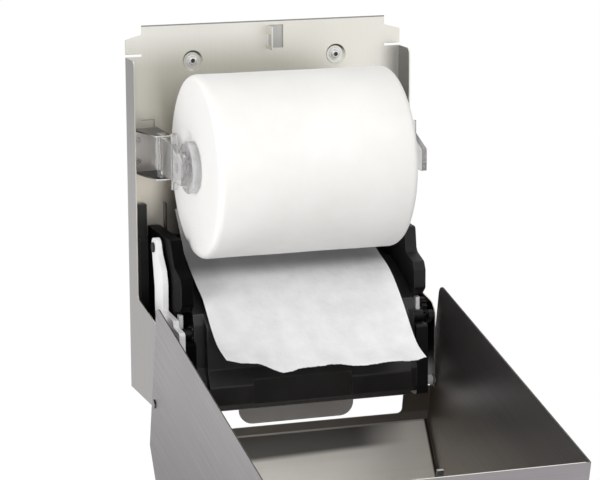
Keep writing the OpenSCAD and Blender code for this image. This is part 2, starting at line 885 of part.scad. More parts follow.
// Toothed steel strip under the nose's lip
module tear_bar() {
    half = tear_teeth * tear_pitch / 2;
    front = nose_depth - nose_lip + tear_plate - tear_tooth_h;
    rear = front - tear_plate;
    color("silver")
        plate_z(nose_low - sheet_t, sheet_t)
            polygon(concat(
                [[half, front], [-half, front]],
                [for (i = [0:tear_teeth - 1])
                    each [
                        [-half + i * tear_pitch, rear],
                        [-half + (i + 0.5) * tear_pitch, rear - tear_tooth_h]
                    ]],
                [[half, rear]]
            ));
}

module lever_pin(side) {
    color("gray") {
        rod_x(side * cheek_x, side * (lever_out + face_gap + clip_t), lever_depth, lever_z, lever_pin_r);
        rod_x(side * cheek_out, side * (lever_in - face_gap), lever_depth, lever_z, collar_r);
    }
}

module lever_clips() {
    color("silver")
        for (side = [-1, 1])
            difference() {
                rod_x(side * (lever_out + face_gap), side * (lever_out + face_gap + clip_t),
                    lever_depth, lever_z, clip_r);
                rod_x(side * lever_out, side * (lever_out + clip_t + cut), lever_depth, lever_z, lever_pin_r);
            }
}

// Outline of a push lever in depth and height: shank, then the left one's boot or a relief, then its foot
module lever_outline(side) {
    boot = [
        [lever_depth + 67, lever_z - 60, 2], [lever_depth + 69, lever_z - 66, 2],
        [lever_depth + 90, lever_z - 67.5, 4], [lever_depth + 91, lever_z - 100, 8],
        [bar_depth + 24, lever_z - 126, 10]
    ];
    relief = [
        [feed_depth - shaft_r - 4, feed_z + 8, 4], [feed_depth - shaft_r - 4, feed_z - 12, 6],
        [lever_depth + 40, lever_z - 118, 10]
    ];
    polygon(rounded(concat(
        [
            [lever_depth - 6, lever_z + 5, 0], [lever_depth + 6, lever_z + 7, 0],
            [lever_depth + 13, lever_z - 5, 6], [lever_depth + 26, lever_z - 18, 6],
            [lever_depth + 31, lever_z - 32, 6], [lever_depth + 30, lever_z - 58, 2]
        ],
        side < 0 ? boot : relief,
        [
            [bar_depth + 12, lever_end, 4], [bar_depth - 4, lever_end, 4],
            [lever_depth + 10, lever_z - 110, 10], [lever_depth + 1, lever_z - 75, 10],
            [lever_depth + 1, lever_z - 40, 10], [lever_depth - 7, lever_z - 6, 0]
        ]
    )));
}

// Room for the pinion inside the sector, with the gaps between its teeth along the outer side
module sector_window() {
    first = feed_angle - window_margin;
    last = feed_angle + push_angle + window_ahead;
    pitch = 360 / sector_teeth;
    behind = floor((feed_angle - first) / pitch - 0.5);
    ahead = floor((last - feed_angle) / pitch - 0.5);
    arc_steps = 16;
    translate([lever_depth, lever_z])
        rotate([0, 0, -90])
            polygon(concat(
                [for (i = [0:arc_steps])
                    let (a = last + (first - last) * i / arc_steps)
                    window_in_r * [cos(a), sin(a)]],
                [sector_tip_r * [cos(first), sin(first)]],
                [for (k = [-behind:ahead])
                    each tooth(sector_teeth, feed_angle + k * pitch, sector_tip_r, sector_root_r, flank_play)],
                [sector_tip_r * [cos(last), sin(last)]]
            ));
}

module push_lever(side) {
    color("white")
        on_side(side)
            difference() {
                union() {
                    plate_x(lever_in, lever_t)
                        lever_outline(side);
                    rod_x(lever_in, lever_out, lever_depth, lever_z, lever_eye_r);
                }
                rod_x(lever_in - cut, lever_out + cut, lever_depth, lever_z, lever_pin_r + running_gap);
                if (side > 0)
                    at_sector_screws()
                        rod_x(lever_in - cut, lever_out + cut, 0, 0, sector_screw_r);
            }
}

// Places of the two screws that hold the sector on the right lever
module at_sector_screws() {
    for (a = sector_screw_angles)
        translate([0, -lever_depth - sector_screw_at * sin(a), lever_z - sector_screw_at * cos(a)])
            children();
}

// Black curved rack on the outer face of the right lever, with its teeth towards the pivot
module feed_sector() {
    first = feed_angle - window_margin - sector_pad;
    last = feed_angle + push_angle + sector_ahead;
    arc_steps = 24;
    color("dimgray")
        difference() {
            plate_x(lever_out, sector_t)
                difference() {
                    translate([lever_depth, lever_z])
                        rotate([0, 0, -90])
                            polygon(concat(
                                [for (i = [0:arc_steps])
                                    let (a = first + (last - first) * i / arc_steps)
                                    sector_in_r * [cos(a), sin(a)]],
                                [for (i = [arc_steps:-1:0])
                                    let (a = first + (last - first) * i / arc_steps)
                                    sector_out_r * [cos(a), sin(a)]]
                            ));
                    sector_window();
                }
            at_sector_screws()
                rod_x(lever_out - cut, lever_out + sector_t + cut, 0, 0, sector_screw_r);
        }
}

module sector_screws() {
    head_r = sector_screw_r + 1.5;
    head_t = 1.5;
    color("silver")
        at_sector_screws() {
            rod_x(lever_in, lever_out + sector_t, 0, 0, sector_screw_r);
            rod_x(lever_out + sector_t, lever_out + sector_t + head_t, 0, 0, head_r);
        }
}

// Bar that joins the levers and carries the paddle and the spring's seat
module cross_bar() {
    color("dimgray")
        difference() {
            union() {
                block(-lever_in, lever_in, bar_depth, bar_depth + bar_t, bar_z, bar_z + bar_h);
                block(-lug_half_w, lug_half_w, bar_depth, bar_depth + lug_t, bar_z, bar_z + bar_h + lug_h);
                rod_y(bar_depth - spring_post, bar_depth + lug_t, 0, spring_z, spring_post_r);
            }
            for (x = [-paddle_screw_x, paddle_screw_x])
                rod_y(bar_depth - cut, bar_depth + bar_t + cut, x, bar_z + bar_h / 2, paddle_screw_r);
        }
}

module push_paddle() {
    front = bar_depth + bar_t + paddle_t;
    color("gray")
        difference() {
            translate([0, -front + paddle_t, 0])
                rotate([90, 0, 0])
                    linear_extrude(paddle_t)
                        polygon(rounded([
                            [-paddle_half_w, paddle_top, 2], [paddle_half_w, paddle_top, 2],
                            [paddle_half_w, paddle_z, paddle_corner], [-paddle_half_w, paddle_z, paddle_corner]
                        ]));
            for (x = [-paddle_screw_x, paddle_screw_x])
                rod_y(front - paddle_t - cut, front + cut, x, bar_z + bar_h / 2, paddle_screw_r);
        }
}

module paddle_screws() {
    front = bar_depth + bar_t + paddle_t;
    head_t = 2;
    color("silver")
        for (x = [-paddle_screw_x, paddle_screw_x]) {
            rod_y(bar_depth, front, x, bar_z + bar_h / 2, paddle_screw_r);
            rod_y(front, front + head_t, x, bar_z + bar_h / 2, paddle_screw_head_r);
        }
}

// Compression spring between the chassis and the cross bar's lug
module return_spring() {
    room = bar_depth - chassis_floor - 2 * face_gap - spring_wire;
    color("dimgray")
        translate([0, -chassis_floor - face_gap - spring_wire / 2, spring_z])
            rotate([90, 0, 0])
                spring(spring_turns, spring_r, room / spring_turns, spring_wire);
}

module feed_shaft() {
    color("silver")
        rod_x(-cheek_out, lever_out + sector_t, feed_depth, feed_z, shaft_r);
}

// Rubber sleeves on a roller shaft
module sleeves(depth, z, r) {
    color("darkslategray")
        for (x = sleeve_xs)
            difference() {
                rod_x(x - sleeve_len / 2, x + sleeve_len / 2, depth, z, r);
                rod_x(x - sleeve_len / 2 - cut, x + sleeve_len / 2 + cut, depth, z, shaft_r);
            }
}

module feed_sleeves() {
    sleeves(feed_depth, feed_z, feed_r);
}

module feed_pinion() {
    pitch = 360 / pinion_teeth;
    color("white")
        difference() {
            plate_x(lever_out, sector_t)
                translate([feed_depth, feed_z])
                    rotate([0, 0, -90])
                        polygon([
                            for (k = [0:pinion_teeth - 1])
                                each tooth(pinion_teeth, feed_angle + k * pitch,
                                    pinion_root_r, pinion_tip_r, -flank_play)
                        ]);
            rod_x(lever_out - cut, lever_out + sector_t + cut, feed_depth, feed_z, shaft_r);
        }
}

module pinch_shaft() {
    color("silver")
        rod_x(-cheek_out, cheek_out, pinch_depth, pinch_z, shaft_r);
}

module pinch_sleeves() {
    sleeves(pinch_depth, pinch_z, pinch_r);
}

// Black bushes on the ends of the pinch shaft, in the cheeks' notches
module pinch_bushes() {
    color("darkgray")
        for (side = [-1, 1])
            difference() {
                rod_x(side * cheek_x, side * cheek_out, pinch_depth, pinch_z, bush_r);
                rod_x(side * (cheek_x - cut), side * (cheek_out + cut), pinch_depth, pinch_z,
                    shaft_r + running_gap);
            }
}

// White clip that presses a bush forward and down in its notch
module pinch_clip(side) {
    color("white")
        on_side(side)
            difference() {
                block(cheek_out - 1 - pinch_clip_w, cheek_out - 1, notch_depth, pinch_depth - 4,
                    notch_low, notch_top - 2);
                rod_x(cheek_x, cheek_out, pinch_depth, pinch_z, bush_r + running_gap);
            }
}

// Turns the closed cover out to the angle at which it hangs
module on_cover() {
    translate([0, -hinge_depth, hinge_z])
        rotate([cover_open, 0, 0])
            translate([0, hinge_depth, -hinge_z])
                children();
}

// Side outline of the closed cover at a distance outside its inner faces
function cover_outline(out) = [
    [cover_rear, cover_low - out, cover_tip_r],
    [fold_depth + out * tan(slant_angle / 2), cover_low - out, 0],
    [cover_depth + out, cover_low + slant_rise - out * tan(45 - slant_angle / 2), 0],
    [cover_depth + out, cover_top + out, 0],
    [cover_rear, cover_top + out, 2]
];

// Section of the sheet that wraps round the bottom, the slanted face, the front and the top
function wrap_section() =
    let (inner = cover_outline(0), outer = cover_outline(sheet_t))
    [
        [margin_rear, cover_low - sheet_t],
        for (i = [1:4]) [outer[i][0], outer[i][1]],
        for (i = [4:-1:1]) [inner[i][0], inner[i][1]],
        [margin_rear, cover_low]
    ];

module cover_shell() {
    slot_front = fold_depth - slot_lip;
    color("lightslategray")
        on_cover()
            difference() {
                union() {
                    plate_x(-cover_side, 2 * cover_side)
                        polygon(wrap_section());
                    for (side = [-1, 1])
                        on_side(side)
                            plate_x(cover_side, sheet_t)
                                polygon(rounded(cover_outline(sheet_t)));
                }
                plate_z(cover_low - sheet_t - cut, sheet_t + 2 * cut)
                    polygon(rounded([
                        [-slot_half_w, margin_rear - cut, 0], [slot_half_w, margin_rear - cut, 0],
                        [slot_half_w, slot_front, slot_corner], [-slot_half_w, slot_front, slot_corner]
                    ]));
                for (side = [-1, 1])
                    rod_x(side * (cover_side - cut), side * (cover_side + sheet_t + cut),
                        hinge_depth, hinge_z, hinge_pin_r + running_gap);
                translate([lock_x, -lock_depth, cover_top - cut])
                    cylinder(h = sheet_t + 2 * cut, r = lock_r);
            }
}

module hinge_pin(side) {
    inner = half_w - sheet_t - hinge_bush_len;
    outer = cover_side + sheet_t + face_gap;
    color("gray") {
        rod_x(side * inner, side * outer, hinge_depth, hinge_z, hinge_pin_r);
        rod_x(side * outer, side * (outer + hinge_head_t), hinge_depth, hinge_z, hinge_head_r);
    }
}

// White bush inside the flange and white washer between flange and cover
module hinge_bush(side) {
    spans = [
        [half_w - sheet_t - hinge_bush_len, half_w - sheet_t],
        [half_w, cover_side - face_gap]
    ];
    color("white")
        for (span = spans)
            difference() {
                rod_x(side * span[0], side * span[1], hinge_depth, hinge_z, hinge_bush_r);
                rod_x(side * (span[0] - cut), side * (span[1] + cut), hinge_depth, hinge_z, hinge_pin_r);
            }
}

// Lock barrel in the cover's top wall, with a plain key slot
module lock_body() {
    key_w = 1.6;
    key_len = 8;
    color("silver")
        on_cover()
            translate([lock_x, -lock_depth, 0])
                difference() {
                    union() {
                        translate([0, 0, lock_low])
                            cylinder(h = cover_top + sheet_t - lock_low, r = lock_r);
                        translate([0, 0, cover_top + sheet_t])
                            cylinder(h = lock_flange_t, r = lock_flange_r);
                        translate([0, 0, lock_low - cam_t - face_gap])
                            cylinder(h = cam_t + face_gap + cut, r = cam_pin_r);
                    }
                    translate([-key_len / 2, -key_w / 2, cover_top + sheet_t])
                        cube([key_len, key_w, lock_flange_t + cut]);
                }
}

module lock_nut() {
    color("darkgray")
        on_cover()
            translate([lock_x, -lock_depth, cover_top - lock_nut_t])
                difference() {
                    cylinder(h = lock_nut_t, r = lock_flange_r + 1, $fn = 6);
                    translate([0, 0, -cut])
                        cylinder(h = lock_nut_t + 2 * cut, r = lock_r);
                }
}

// Flat cam under the barrel that turns into the keeper's slot
module lock_cam() {
    color("gray")
        on_cover()
            translate([lock_x, -lock_depth, lock_low - cam_t - face_gap])
                difference() {
                    union() {
                        cylinder(h = cam_t, r = cam_w);
                        translate([-cam_w / 2, 0, 0])
                            cube([cam_w, cam_len, cam_t]);
                    }
                    translate([0, 0, -cut])
                        cylinder(h = cam_t + 2 * cut, r = cam_pin_r + running_gap);
                }
}

back_plate();
bracket(-1);  // bracket_left
bracket(1);  // bracket_right
bracket_rivets();
arm_pin(-1);  // arm_pin_left
arm_pin(1);  // arm_pin_right
arm_spring(-1);  // arm_spring_left
arm_spring(1);  // arm_spring_right
arm(-1);  // arm_left
arm(1);  // arm_right
hub(-1);  // hub_left
hub(1);  // hub_right
roll_core();
towel_roll();
towel_tail();
chassis_back();
chassis_screws();
cheek(-1);  // cheek_left
cheek(1);  // cheek_right
paper_deck();
nose_cover();
tear_bar();
lever_pin(-1);  // lever_pin_left
lever_pin(1);  // lever_pin_right
lever_clips();
push_lever(-1);  // push_lever_left
push_lever(1);  // push_lever_right
feed_sector();
sector_screws();
cross_bar();
push_paddle();
paddle_screws();
return_spring();
feed_shaft();
feed_sleeves();
feed_pinion();
pinch_shaft();
pinch_sleeves();
pinch_bushes();
pinch_clip(-1);  // pinch_clip_left
pinch_clip(1);  // pinch_clip_right
cover_shell();
hinge_pin(-1);  // hinge_pin_left
hinge_pin(1);  // hinge_pin_right
hinge_bush(-1);  // hinge_bush_left
hinge_bush(1);  // hinge_bush_right
lock_body();
lock_nut();
lock_cam();
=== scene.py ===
import json
import math

import bpy
from mathutils import Euler, Matrix, Vector


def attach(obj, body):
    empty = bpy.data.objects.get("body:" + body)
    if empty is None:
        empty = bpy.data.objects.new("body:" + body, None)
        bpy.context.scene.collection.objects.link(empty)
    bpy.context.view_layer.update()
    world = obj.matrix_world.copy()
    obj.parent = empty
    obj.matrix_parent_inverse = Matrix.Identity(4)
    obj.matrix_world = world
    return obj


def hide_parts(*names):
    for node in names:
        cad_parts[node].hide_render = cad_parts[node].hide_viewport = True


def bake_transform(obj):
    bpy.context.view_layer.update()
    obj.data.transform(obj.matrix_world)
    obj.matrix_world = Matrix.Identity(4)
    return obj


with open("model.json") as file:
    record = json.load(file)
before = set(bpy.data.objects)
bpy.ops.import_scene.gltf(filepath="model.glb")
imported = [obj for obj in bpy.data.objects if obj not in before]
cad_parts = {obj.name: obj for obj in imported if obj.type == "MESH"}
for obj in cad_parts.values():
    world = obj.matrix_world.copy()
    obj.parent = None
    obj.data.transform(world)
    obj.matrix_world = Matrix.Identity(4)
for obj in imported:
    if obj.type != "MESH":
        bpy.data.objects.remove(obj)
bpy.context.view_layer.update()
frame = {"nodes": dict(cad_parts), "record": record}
nodes = frame["nodes"]

# Places of the object, in metres, as the part's source has them
FACE_GAP = 0.0003
TOWEL_W, TOWEL_T, ROLL_SHIFT = 0.200, 0.0005, -0.005
ROLL_LEFT, ROLL_RIGHT = ROLL_SHIFT - TOWEL_W / 2, ROLL_SHIFT + TOWEL_W / 2
ROLL_DEPTH, ROLL_Z, ROLL_R = 0.107, -0.0095, 0.0895
CORE_R = 0.0225
PLATE_TOP = 0.1175
SCREW_X, SCREW_Z = 0.0757, 0.080
BRACKET_MID, BRACKET_H = ROLL_Z + 0.002, 0.042
ARM_PIN_X, ARM_PIN_DEPTH = 0.122, 0.050
CHASSIS_FLOOR = 0.0077
LEVER_DEPTH, LEVER_Z = 0.061, -0.0955
BAR_DEPTH = LEVER_DEPTH + 0.029
GEAR_GAP, FEED_ANGLE = 0.0816, math.radians(22)
FEED_R, PINCH_R, NIP_GAP = 0.017, 0.012, 0.0004
PINCH_DEPTH = LEVER_DEPTH + GEAR_GAP * math.sin(FEED_ANGLE) + FEED_R + PINCH_R + NIP_GAP
DECK_Z, DECK_FRONT = LEVER_Z - 0.0255, PINCH_DEPTH + 0.006
NOSE_TOP, NOSE_DEPTH = DECK_Z - 0.030, PINCH_DEPTH + PINCH_R + 0.018
HINGE_DEPTH, HINGE_Z = 0.1032, -0.2435
COVER_OPEN = math.radians(103)
COVER_LOW, COVER_SIDE = -0.252, 0.1465


# Modelling helpers

def deselect():
    bpy.ops.object.select_all(action="DESELECT")


def settle(obj, name, smooth=35):
    """Puts the object's place into its mesh, names it and smooths it between sharp edges."""
    deselect()
    obj.select_set(True)
    bpy.context.view_layer.objects.active = obj
    bpy.ops.object.transform_apply(location=True, rotation=True, scale=True)
    bpy.ops.object.shade_smooth_by_angle(angle=math.radians(smooth))
    obj.name = name
    obj.data.name = name
    deselect()
    return obj


def apply_modifier(obj, modifier):
    deselect()
    obj.select_set(True)
    bpy.context.view_layer.objects.active = obj
    bpy.ops.object.modifier_apply(modifier=modifier.name)


def turned(name, centre, axis, rings, segments=48, looped=False):
    """A turned piece: a circle extruded and resized from ring to ring along an axis."""
    turn = {"X": (0, math.pi / 2, 0), "Y": (math.pi / 2, 0, 0)}[axis]
    along = {"X": Vector((1, 0, 0)), "Y": Vector((0, -1, 0))}[axis]
    place, radius = rings[0]
    deselect()
    bpy.ops.mesh.primitive_circle_add(
        vertices=segments, radius=radius, fill_type="NOTHING" if looped else "NGON",
        location=centre + along * place, rotation=turn)
    obj = bpy.context.active_object
    bpy.ops.object.mode_set(mode="EDIT")
    bpy.ops.mesh.select_all(action="SELECT")
    extrude = bpy.ops.mesh.extrude_edges_move if looped else bpy.ops.mesh.extrude_region_move
    for next_place, next_radius in rings[1:]:
        extrude(TRANSFORM_OT_translate={"value": along * (next_place - place)})
        share = next_radius / radius
        squeeze = (1, share, share) if axis == "X" else (share, 1, share)
        bpy.ops.transform.resize(value=squeeze, center_override=centre + along * next_place)
        place, radius = next_place, next_radius
    bpy.ops.mesh.select_all(action="SELECT")
    bpy.ops.mesh.remove_doubles(threshold=1e-6)
    bpy.ops.mesh.normals_make_consistent(inside=False)
    bpy.ops.object.mode_set(mode="OBJECT")
    return settle(obj, name)


COIL_STEPS, WIRE_SIDES = 28, 12


def coil(name, start, axis, turns, radius, pitch, wire):
    """A round wire wound about an axis, from its start, with closed ends."""
    deselect()
    bpy.ops.mesh.primitive_circle_add(
        vertices=WIRE_SIDES, radius=wire / 2, fill_type="NOTHING",
        location=(0, 0, 0), rotation=(math.pi / 2, 0, 0))
    obj = bpy.context.active_object
    bpy.ops.object.transform_apply(location=False, rotation=True, scale=False)
    bpy.ops.object.mode_set(mode="EDIT")
    bpy.ops.mesh.select_all(action="SELECT")
    bpy.ops.transform.translate(value=(radius, 0, 0))
    bpy.ops.object.mode_set(mode="OBJECT")
    winding = obj.modifiers.new("winding", "SCREW")
    winding.axis = "Z"
    winding.screw_offset = pitch
    winding.iterations = turns
    winding.steps = winding.render_steps = COIL_STEPS
    winding.use_merge_vertices = False
    apply_modifier(obj, winding)
    bpy.ops.object.mode_set(mode="EDIT")
    bpy.ops.mesh.select_mode(type="EDGE")
    bpy.ops.mesh.select_all(action="DESELECT")
    bpy.ops.mesh.select_non_manifold(extend=False)
    bpy.ops.mesh.edge_face_add()
    bpy.ops.mesh.select_all(action="SELECT")
    bpy.ops.mesh.normals_make_consistent(inside=False)
    bpy.ops.mesh.select_mode(type="VERT")
    bpy.ops.object.mode_set(mode="OBJECT")
    obj.rotation_euler = {"Z": (0, 0, 0), "Y": (math.pi / 2, 0, 0)}[axis]
    obj.location = start
    return settle(obj, name, smooth=60)


# Shader node groups shared by the finishes

def group(name, inputs, outputs):
    tree = bpy.data.node_groups.new(name, "ShaderNodeTree")
    for title, kind, value in inputs:
        socket = tree.interface.new_socket(title, in_out="INPUT", socket_type=kind)
        if value is not None:
            socket.default_value = value
    for title, kind in outputs:
        tree.interface.new_socket(title, in_out="OUTPUT", socket_type=kind)
    return tree, tree.nodes.new("NodeGroupInput"), tree.nodes.new("NodeGroupOutput")


def node(tree, kind, **settings):
    """A new node with its settings; those that start with in_ are values of its inputs."""
    made = tree.nodes.new(kind)
    for key, value in settings.items():
        if key.startswith("in_"):
            made.inputs[key[3:].replace("_", " ")].default_value = value
        else:
            setattr(made, key, value)
    return made


def math_node(tree, operation, a, b=0.0):
    made = tree.nodes.new("ShaderNodeMath")
    made.operation = operation
    for socket, value in zip(made.inputs, (a, b)):
        if hasattr(value, "is_linked"):
            tree.links.new(value, socket)
        else:
            socket.default_value = value
    return made.outputs[0]


def times(tree, a, b):
    return math_node(tree, "MULTIPLY", a, b)


def span(tree, value, low, high, to_low, to_high, smooth=False):
    """Brings the value's stretch from low to high to another range, and holds it at the ends."""
    made = tree.nodes.new("ShaderNodeMapRange")
    made.interpolation_type = "SMOOTHSTEP" if smooth else "LINEAR"
    tree.links.new(value, made.inputs["Value"])
    for title, number in (("From Min", low), ("From Max", high), ("To Min", to_low), ("To Max", to_high)):
        made.inputs[title].default_value = number
    return made.outputs["Result"]


def mask(tree, value, off, full, smooth=False):
    """0 where the value is at off or before it, 1 from full onwards."""
    return span(tree, value, off, full, 0.0, 1.0, smooth)


def blend_value(tree, share, a, b):
    made = tree.nodes.new("ShaderNodeMix")
    for socket, value in ((made.inputs[0], share), (made.inputs[2], a), (made.inputs[3], b)):
        tree.links.new(value, socket)
    return made.outputs[0]


def blend_colour(tree, share, a, b):
    made = tree.nodes.new("ShaderNodeMix")
    made.data_type = "RGBA"
    for socket, value in ((made.inputs[0], share), (made.inputs[6], a), (made.inputs[7], b)):
        if hasattr(value, "is_linked"):
            tree.links.new(value, socket)
        else:
            socket.default_value = (*value, 1.0)
    return made.outputs[2]


def brushed_tone(tree, streak, cloud, share):
    """Streaks and clouding as one tone, the streaks with the given share of it."""
    return math_node(tree, "ADD", times(tree, streak, share), times(tree, cloud, 1 - share))


def on_sides(tree, way):
    """Mask of the faces that look to the left or to the right."""
    return mask(tree, math_node(tree, "ABSOLUTE", way["X"]), 0.5, 0.6)


def on_inner_sides(tree, spot, way):
    """Mask of the faces of the left and right walls that look towards the middle."""
    inward = times(tree, way["X"], math_node(tree, "SIGN", spot["X"]))
    return mask(tree, inward, -0.5, -0.6)


def make_edge_group():
    """Normals rounded over the edges, and a mask of where that turns them."""
    tree, given, result = group(
        "rounded_edges", [("Radius", "NodeSocketFloat", 0.0008)],
        [("Normal", "NodeSocketVector"), ("Edge", "NodeSocketFloat")])
    soften = node(tree, "ShaderNodeBevel", samples=6)
    plain = node(tree, "ShaderNodeNewGeometry")
    compare = node(tree, "ShaderNodeVectorMath", operation="DOT_PRODUCT")
    tree.links.new(given.outputs["Radius"], soften.inputs["Radius"])
    tree.links.new(soften.outputs["Normal"], compare.inputs[0])
    tree.links.new(plain.outputs["Normal"], compare.inputs[1])
    tree.links.new(soften.outputs["Normal"], result.inputs["Normal"])
    tree.links.new(mask(tree, compare.outputs["Value"], 0.995, 0.86), result.inputs["Edge"])
    return tree


def make_cloud_group():
    """Soft uneven patches, from 0 to 1."""
    tree, given, result = group(
        "clouding", [("Vector", "NodeSocketVector", None), ("Scale", "NodeSocketFloat", 12.0)],
        [("Cloud", "NodeSocketFloat")])
    noise = node(tree, "ShaderNodeTexNoise", in_Detail=3.0, in_Roughness=0.55)
    tree.links.new(given.outputs["Vector"], noise.inputs["Vector"])
    tree.links.new(given.outputs["Scale"], noise.inputs["Scale"])
    tree.links.new(mask(tree, noise.outputs["Fac"], 0.3, 0.7), result.inputs["Cloud"])
    return tree


def make_grain_group():
    """Fine pits of a moulded surface, as a height."""
    tree, given, result = group(
        "moulded_grain", [("Vector", "NodeSocketVector", None), ("Scale", "NodeSocketFloat", 1400.0)],
        [("Height", "NodeSocketFloat")])
    pits = node(tree, "ShaderNodeTexVoronoi", feature="SMOOTH_F1")
    fine = node(tree, "ShaderNodeTexNoise", in_Detail=2.0)
    for texture in (pits, fine):
        tree.links.new(given.outputs["Vector"], texture.inputs["Vector"])
        tree.links.new(given.outputs["Scale"], texture.inputs["Scale"])
    both = math_node(tree, "ADD", pits.outputs["Distance"], fine.outputs["Fac"])
    tree.links.new(times(tree, both, 0.5), result.inputs["Height"])
    return tree


def make_brush_group():
    """Fine streaks, long on the axis that has the low stretch."""
    tree, given, result = group(
        "brushing", [("Vector", "NodeSocketVector", None), ("Stretch", "NodeSocketVector", (1.0, 1.0, 1.0))],
        [("Streak", "NodeSocketFloat")])
    scaled = node(tree, "ShaderNodeVectorMath", operation="MULTIPLY")
    tree.links.new(given.outputs["Vector"], scaled.inputs[0])
    tree.links.new(given.outputs["Stretch"], scaled.inputs[1])
    lines = node(tree, "ShaderNodeTexNoise", in_Scale=1.0, in_Detail=4.0, in_Roughness=0.65)
    tree.links.new(scaled.outputs["Vector"], lines.inputs["Vector"])
    tree.links.new(mask(tree, lines.outputs["Fac"], 0.32, 0.68), result.inputs["Streak"])
    return tree


edge_group = make_edge_group()
cloud_group = make_cloud_group()
grain_group = make_grain_group()
brush_group = make_brush_group()


class Finish:
    """One material: its Principled shader, Object coordinates and the shared effects."""

    def __init__(self, name):
        self.material = bpy.data.materials.new(name)
        self.material.use_nodes = True
        self.tree = self.material.node_tree
        self.tree.nodes.clear()
        output = self.tree.nodes.new("ShaderNodeOutputMaterial")
        self.shader = self.tree.nodes.new("ShaderNodeBsdfPrincipled")
        self.tree.links.new(self.shader.outputs["BSDF"], output.inputs["Surface"])
        self.coordinates = self.tree.nodes.new("ShaderNodeTexCoord")
        self.place = self.coordinates.outputs["Object"]

    def put(self, **values):
        for title, value in values.items():
            self.shader.inputs[title.replace("_", " ")].default_value = value

    def link(self, value, title):
        self.tree.links.new(value, self.shader.inputs[title])

    def effect(self, tree, place=None, **values):
        made = self.tree.nodes.new("ShaderNodeGroup")
        made.node_tree = tree
        if "Vector" in made.inputs:
            self.tree.links.new(place or self.place, made.inputs["Vector"])
        for title, value in values.items():
            made.inputs[title].default_value = value
        return made.outputs

    def parts(self, vector):
        made = self.tree.nodes.new("ShaderNodeSeparateXYZ")
        self.tree.links.new(vector, made.inputs[0])
        return made.outputs

    def bump(self, height, strength, distance, normal=None):
        made = self.tree.nodes.new("ShaderNodeBump")
        made.inputs["Strength"].default_value = strength
        made.inputs["Distance"].default_value = distance
        self.tree.links.new(height, made.inputs["Height"])
        if normal is not None:
            self.tree.links.new(normal, made.inputs["Normal"])
        self.link(made.outputs["Normal"], "Normal")


def plastic(name, dark, light, rough, painted_edge_highlight=0.25, grain=0.12, shine=0.5):
    """Moulded plastic with a fine grain, slight clouding and a painted highlight along its edges."""
    f = Finish(name)
    t = f.tree
    cloud = f.effect(cloud_group, Scale=26.0)["Cloud"]
    edges = f.effect(edge_group, Radius=0.0009)
    body = blend_colour(t, cloud, dark, light)
    # rim: a paler colour painted along the edges as a highlight
    rim = tuple(c + (1 - c) * 0.12 for c in light)
    f.link(blend_colour(t, times(t, edges["Edge"], painted_edge_highlight), body, rim), "Base Color")
    f.link(span(t, cloud, 0, 1, rough - 0.06, rough + 0.07), "Roughness")
    f.put(Specular_IOR_Level=shine)
    f.bump(f.effect(grain_group)["Height"], strength=grain, distance=0.0003, normal=edges["Normal"])
    return f


def steel(name, dark, light, rough, stretch, painted_edge_highlight=0.5):
    """Sheet or bar steel, brushed along its low-stretch axis, with a painted highlight along its edges."""
    f = Finish(name)
    t = f.tree
    streak = f.effect(brush_group, Stretch=stretch)["Streak"]
    cloud = f.effect(cloud_group, Scale=9.0)["Cloud"]
    edges = f.effect(edge_group, Radius=0.0007)
    body = blend_colour(t, brushed_tone(t, streak, cloud, 0.45), dark, light)
    # bright: a paler colour painted along the edges as a highlight
    bright = tuple(min(1.0, c * 1.25) for c in light)
    f.link(blend_colour(t, times(t, edges["Edge"], painted_edge_highlight), body, bright), "Base Color")
    f.put(Metallic=1.0)
    f.link(span(t, streak, 0, 1, rough - 0.05, rough + 0.08), "Roughness")
    f.bump(streak, strength=0.05, distance=0.0002, normal=edges["Normal"])
    return f


# The finishes, with the places where their colours change

FLANGE_IN, SLOT_FRONT = 0.138, 0.1425


def plate_painted_light(t, spot, height):
    """The plate's face, in painted light and shade: paler and warm low down, duller in the middle, a painted
    highlight along its top and at its top right, and painted shade low down by the right flange.
    """
    # Painted light: paler low down, and a painted highlight along the top and at the top right
    body = blend_colour(t, height, (0.84, 0.785, 0.69), (0.64, 0.625, 0.56))
    body = blend_colour(t, mask(t, spot["Z"], 0.075, 0.108), body, (0.87, 0.855, 0.80))
    tilted = math_node(t, "ADD", spot["X"], times(t, spot["Z"], 1.2))
    body = blend_colour(t, mask(t, tilted, 0.096, 0.171, smooth=True), body, (0.85, 0.83, 0.765))
    # Painted shade low down beside the right flange
    near_flange = span(t, spot["X"], 0.115, 0.142, 0, 0.04, smooth=True)
    right_flange_shade = times(t, near_flange, mask(t, spot["Z"], 0.089, 0.087))
    return blend_colour(t, right_flange_shade, body, (0.25, 0.24, 0.195))


def dish_painted_light(t, way, shade):
    """Painted shade on the upper slope and a painted highlight on the lower left slope of each dished screw
    seat.
    """
    on_front = mask(t, way["Y"], -0.5, -0.6)
    shadow = times(t, on_front, span(t, way["Z"], -0.1, -0.6, 0, 0.95, smooth=True))
    slope = times(t, math_node(t, "ADD", way["X"], way["Z"]), 0.7)
    glint = times(t, on_front, mask(t, slope, 0.35, 0.6, smooth=True))
    shade = blend_colour(t, shadow, shade, (0.09, 0.09, 0.086))
    return blend_colour(t, glint, shade, (0.97, 0.96, 0.94))


def flange_sides(t, spot, way, height, shade):
    """Grey side flanges, painted darker towards the top against the left lamp's light, with painted shade on
    their inner sides low down.
    """
    at_side = mask(t, math_node(t, "ABSOLUTE", spot["X"]), FLANGE_IN, FLANGE_IN + 0.004)
    # Painted darker towards the top, against the left lamp's light
    grey = blend_colour(t, height, (0.35, 0.34, 0.335), (0.25, 0.245, 0.24))
    sided = blend_colour(t, times(t, on_sides(t, way), at_side), shade, grey)
    # Painted shade on the inner sides of the flanges, low down
    inside = times(t, on_inner_sides(t, spot, way), mask(t, spot["Z"], -0.05, -0.15))
    return blend_colour(t, inside, sided, (0.045, 0.042, 0.038))


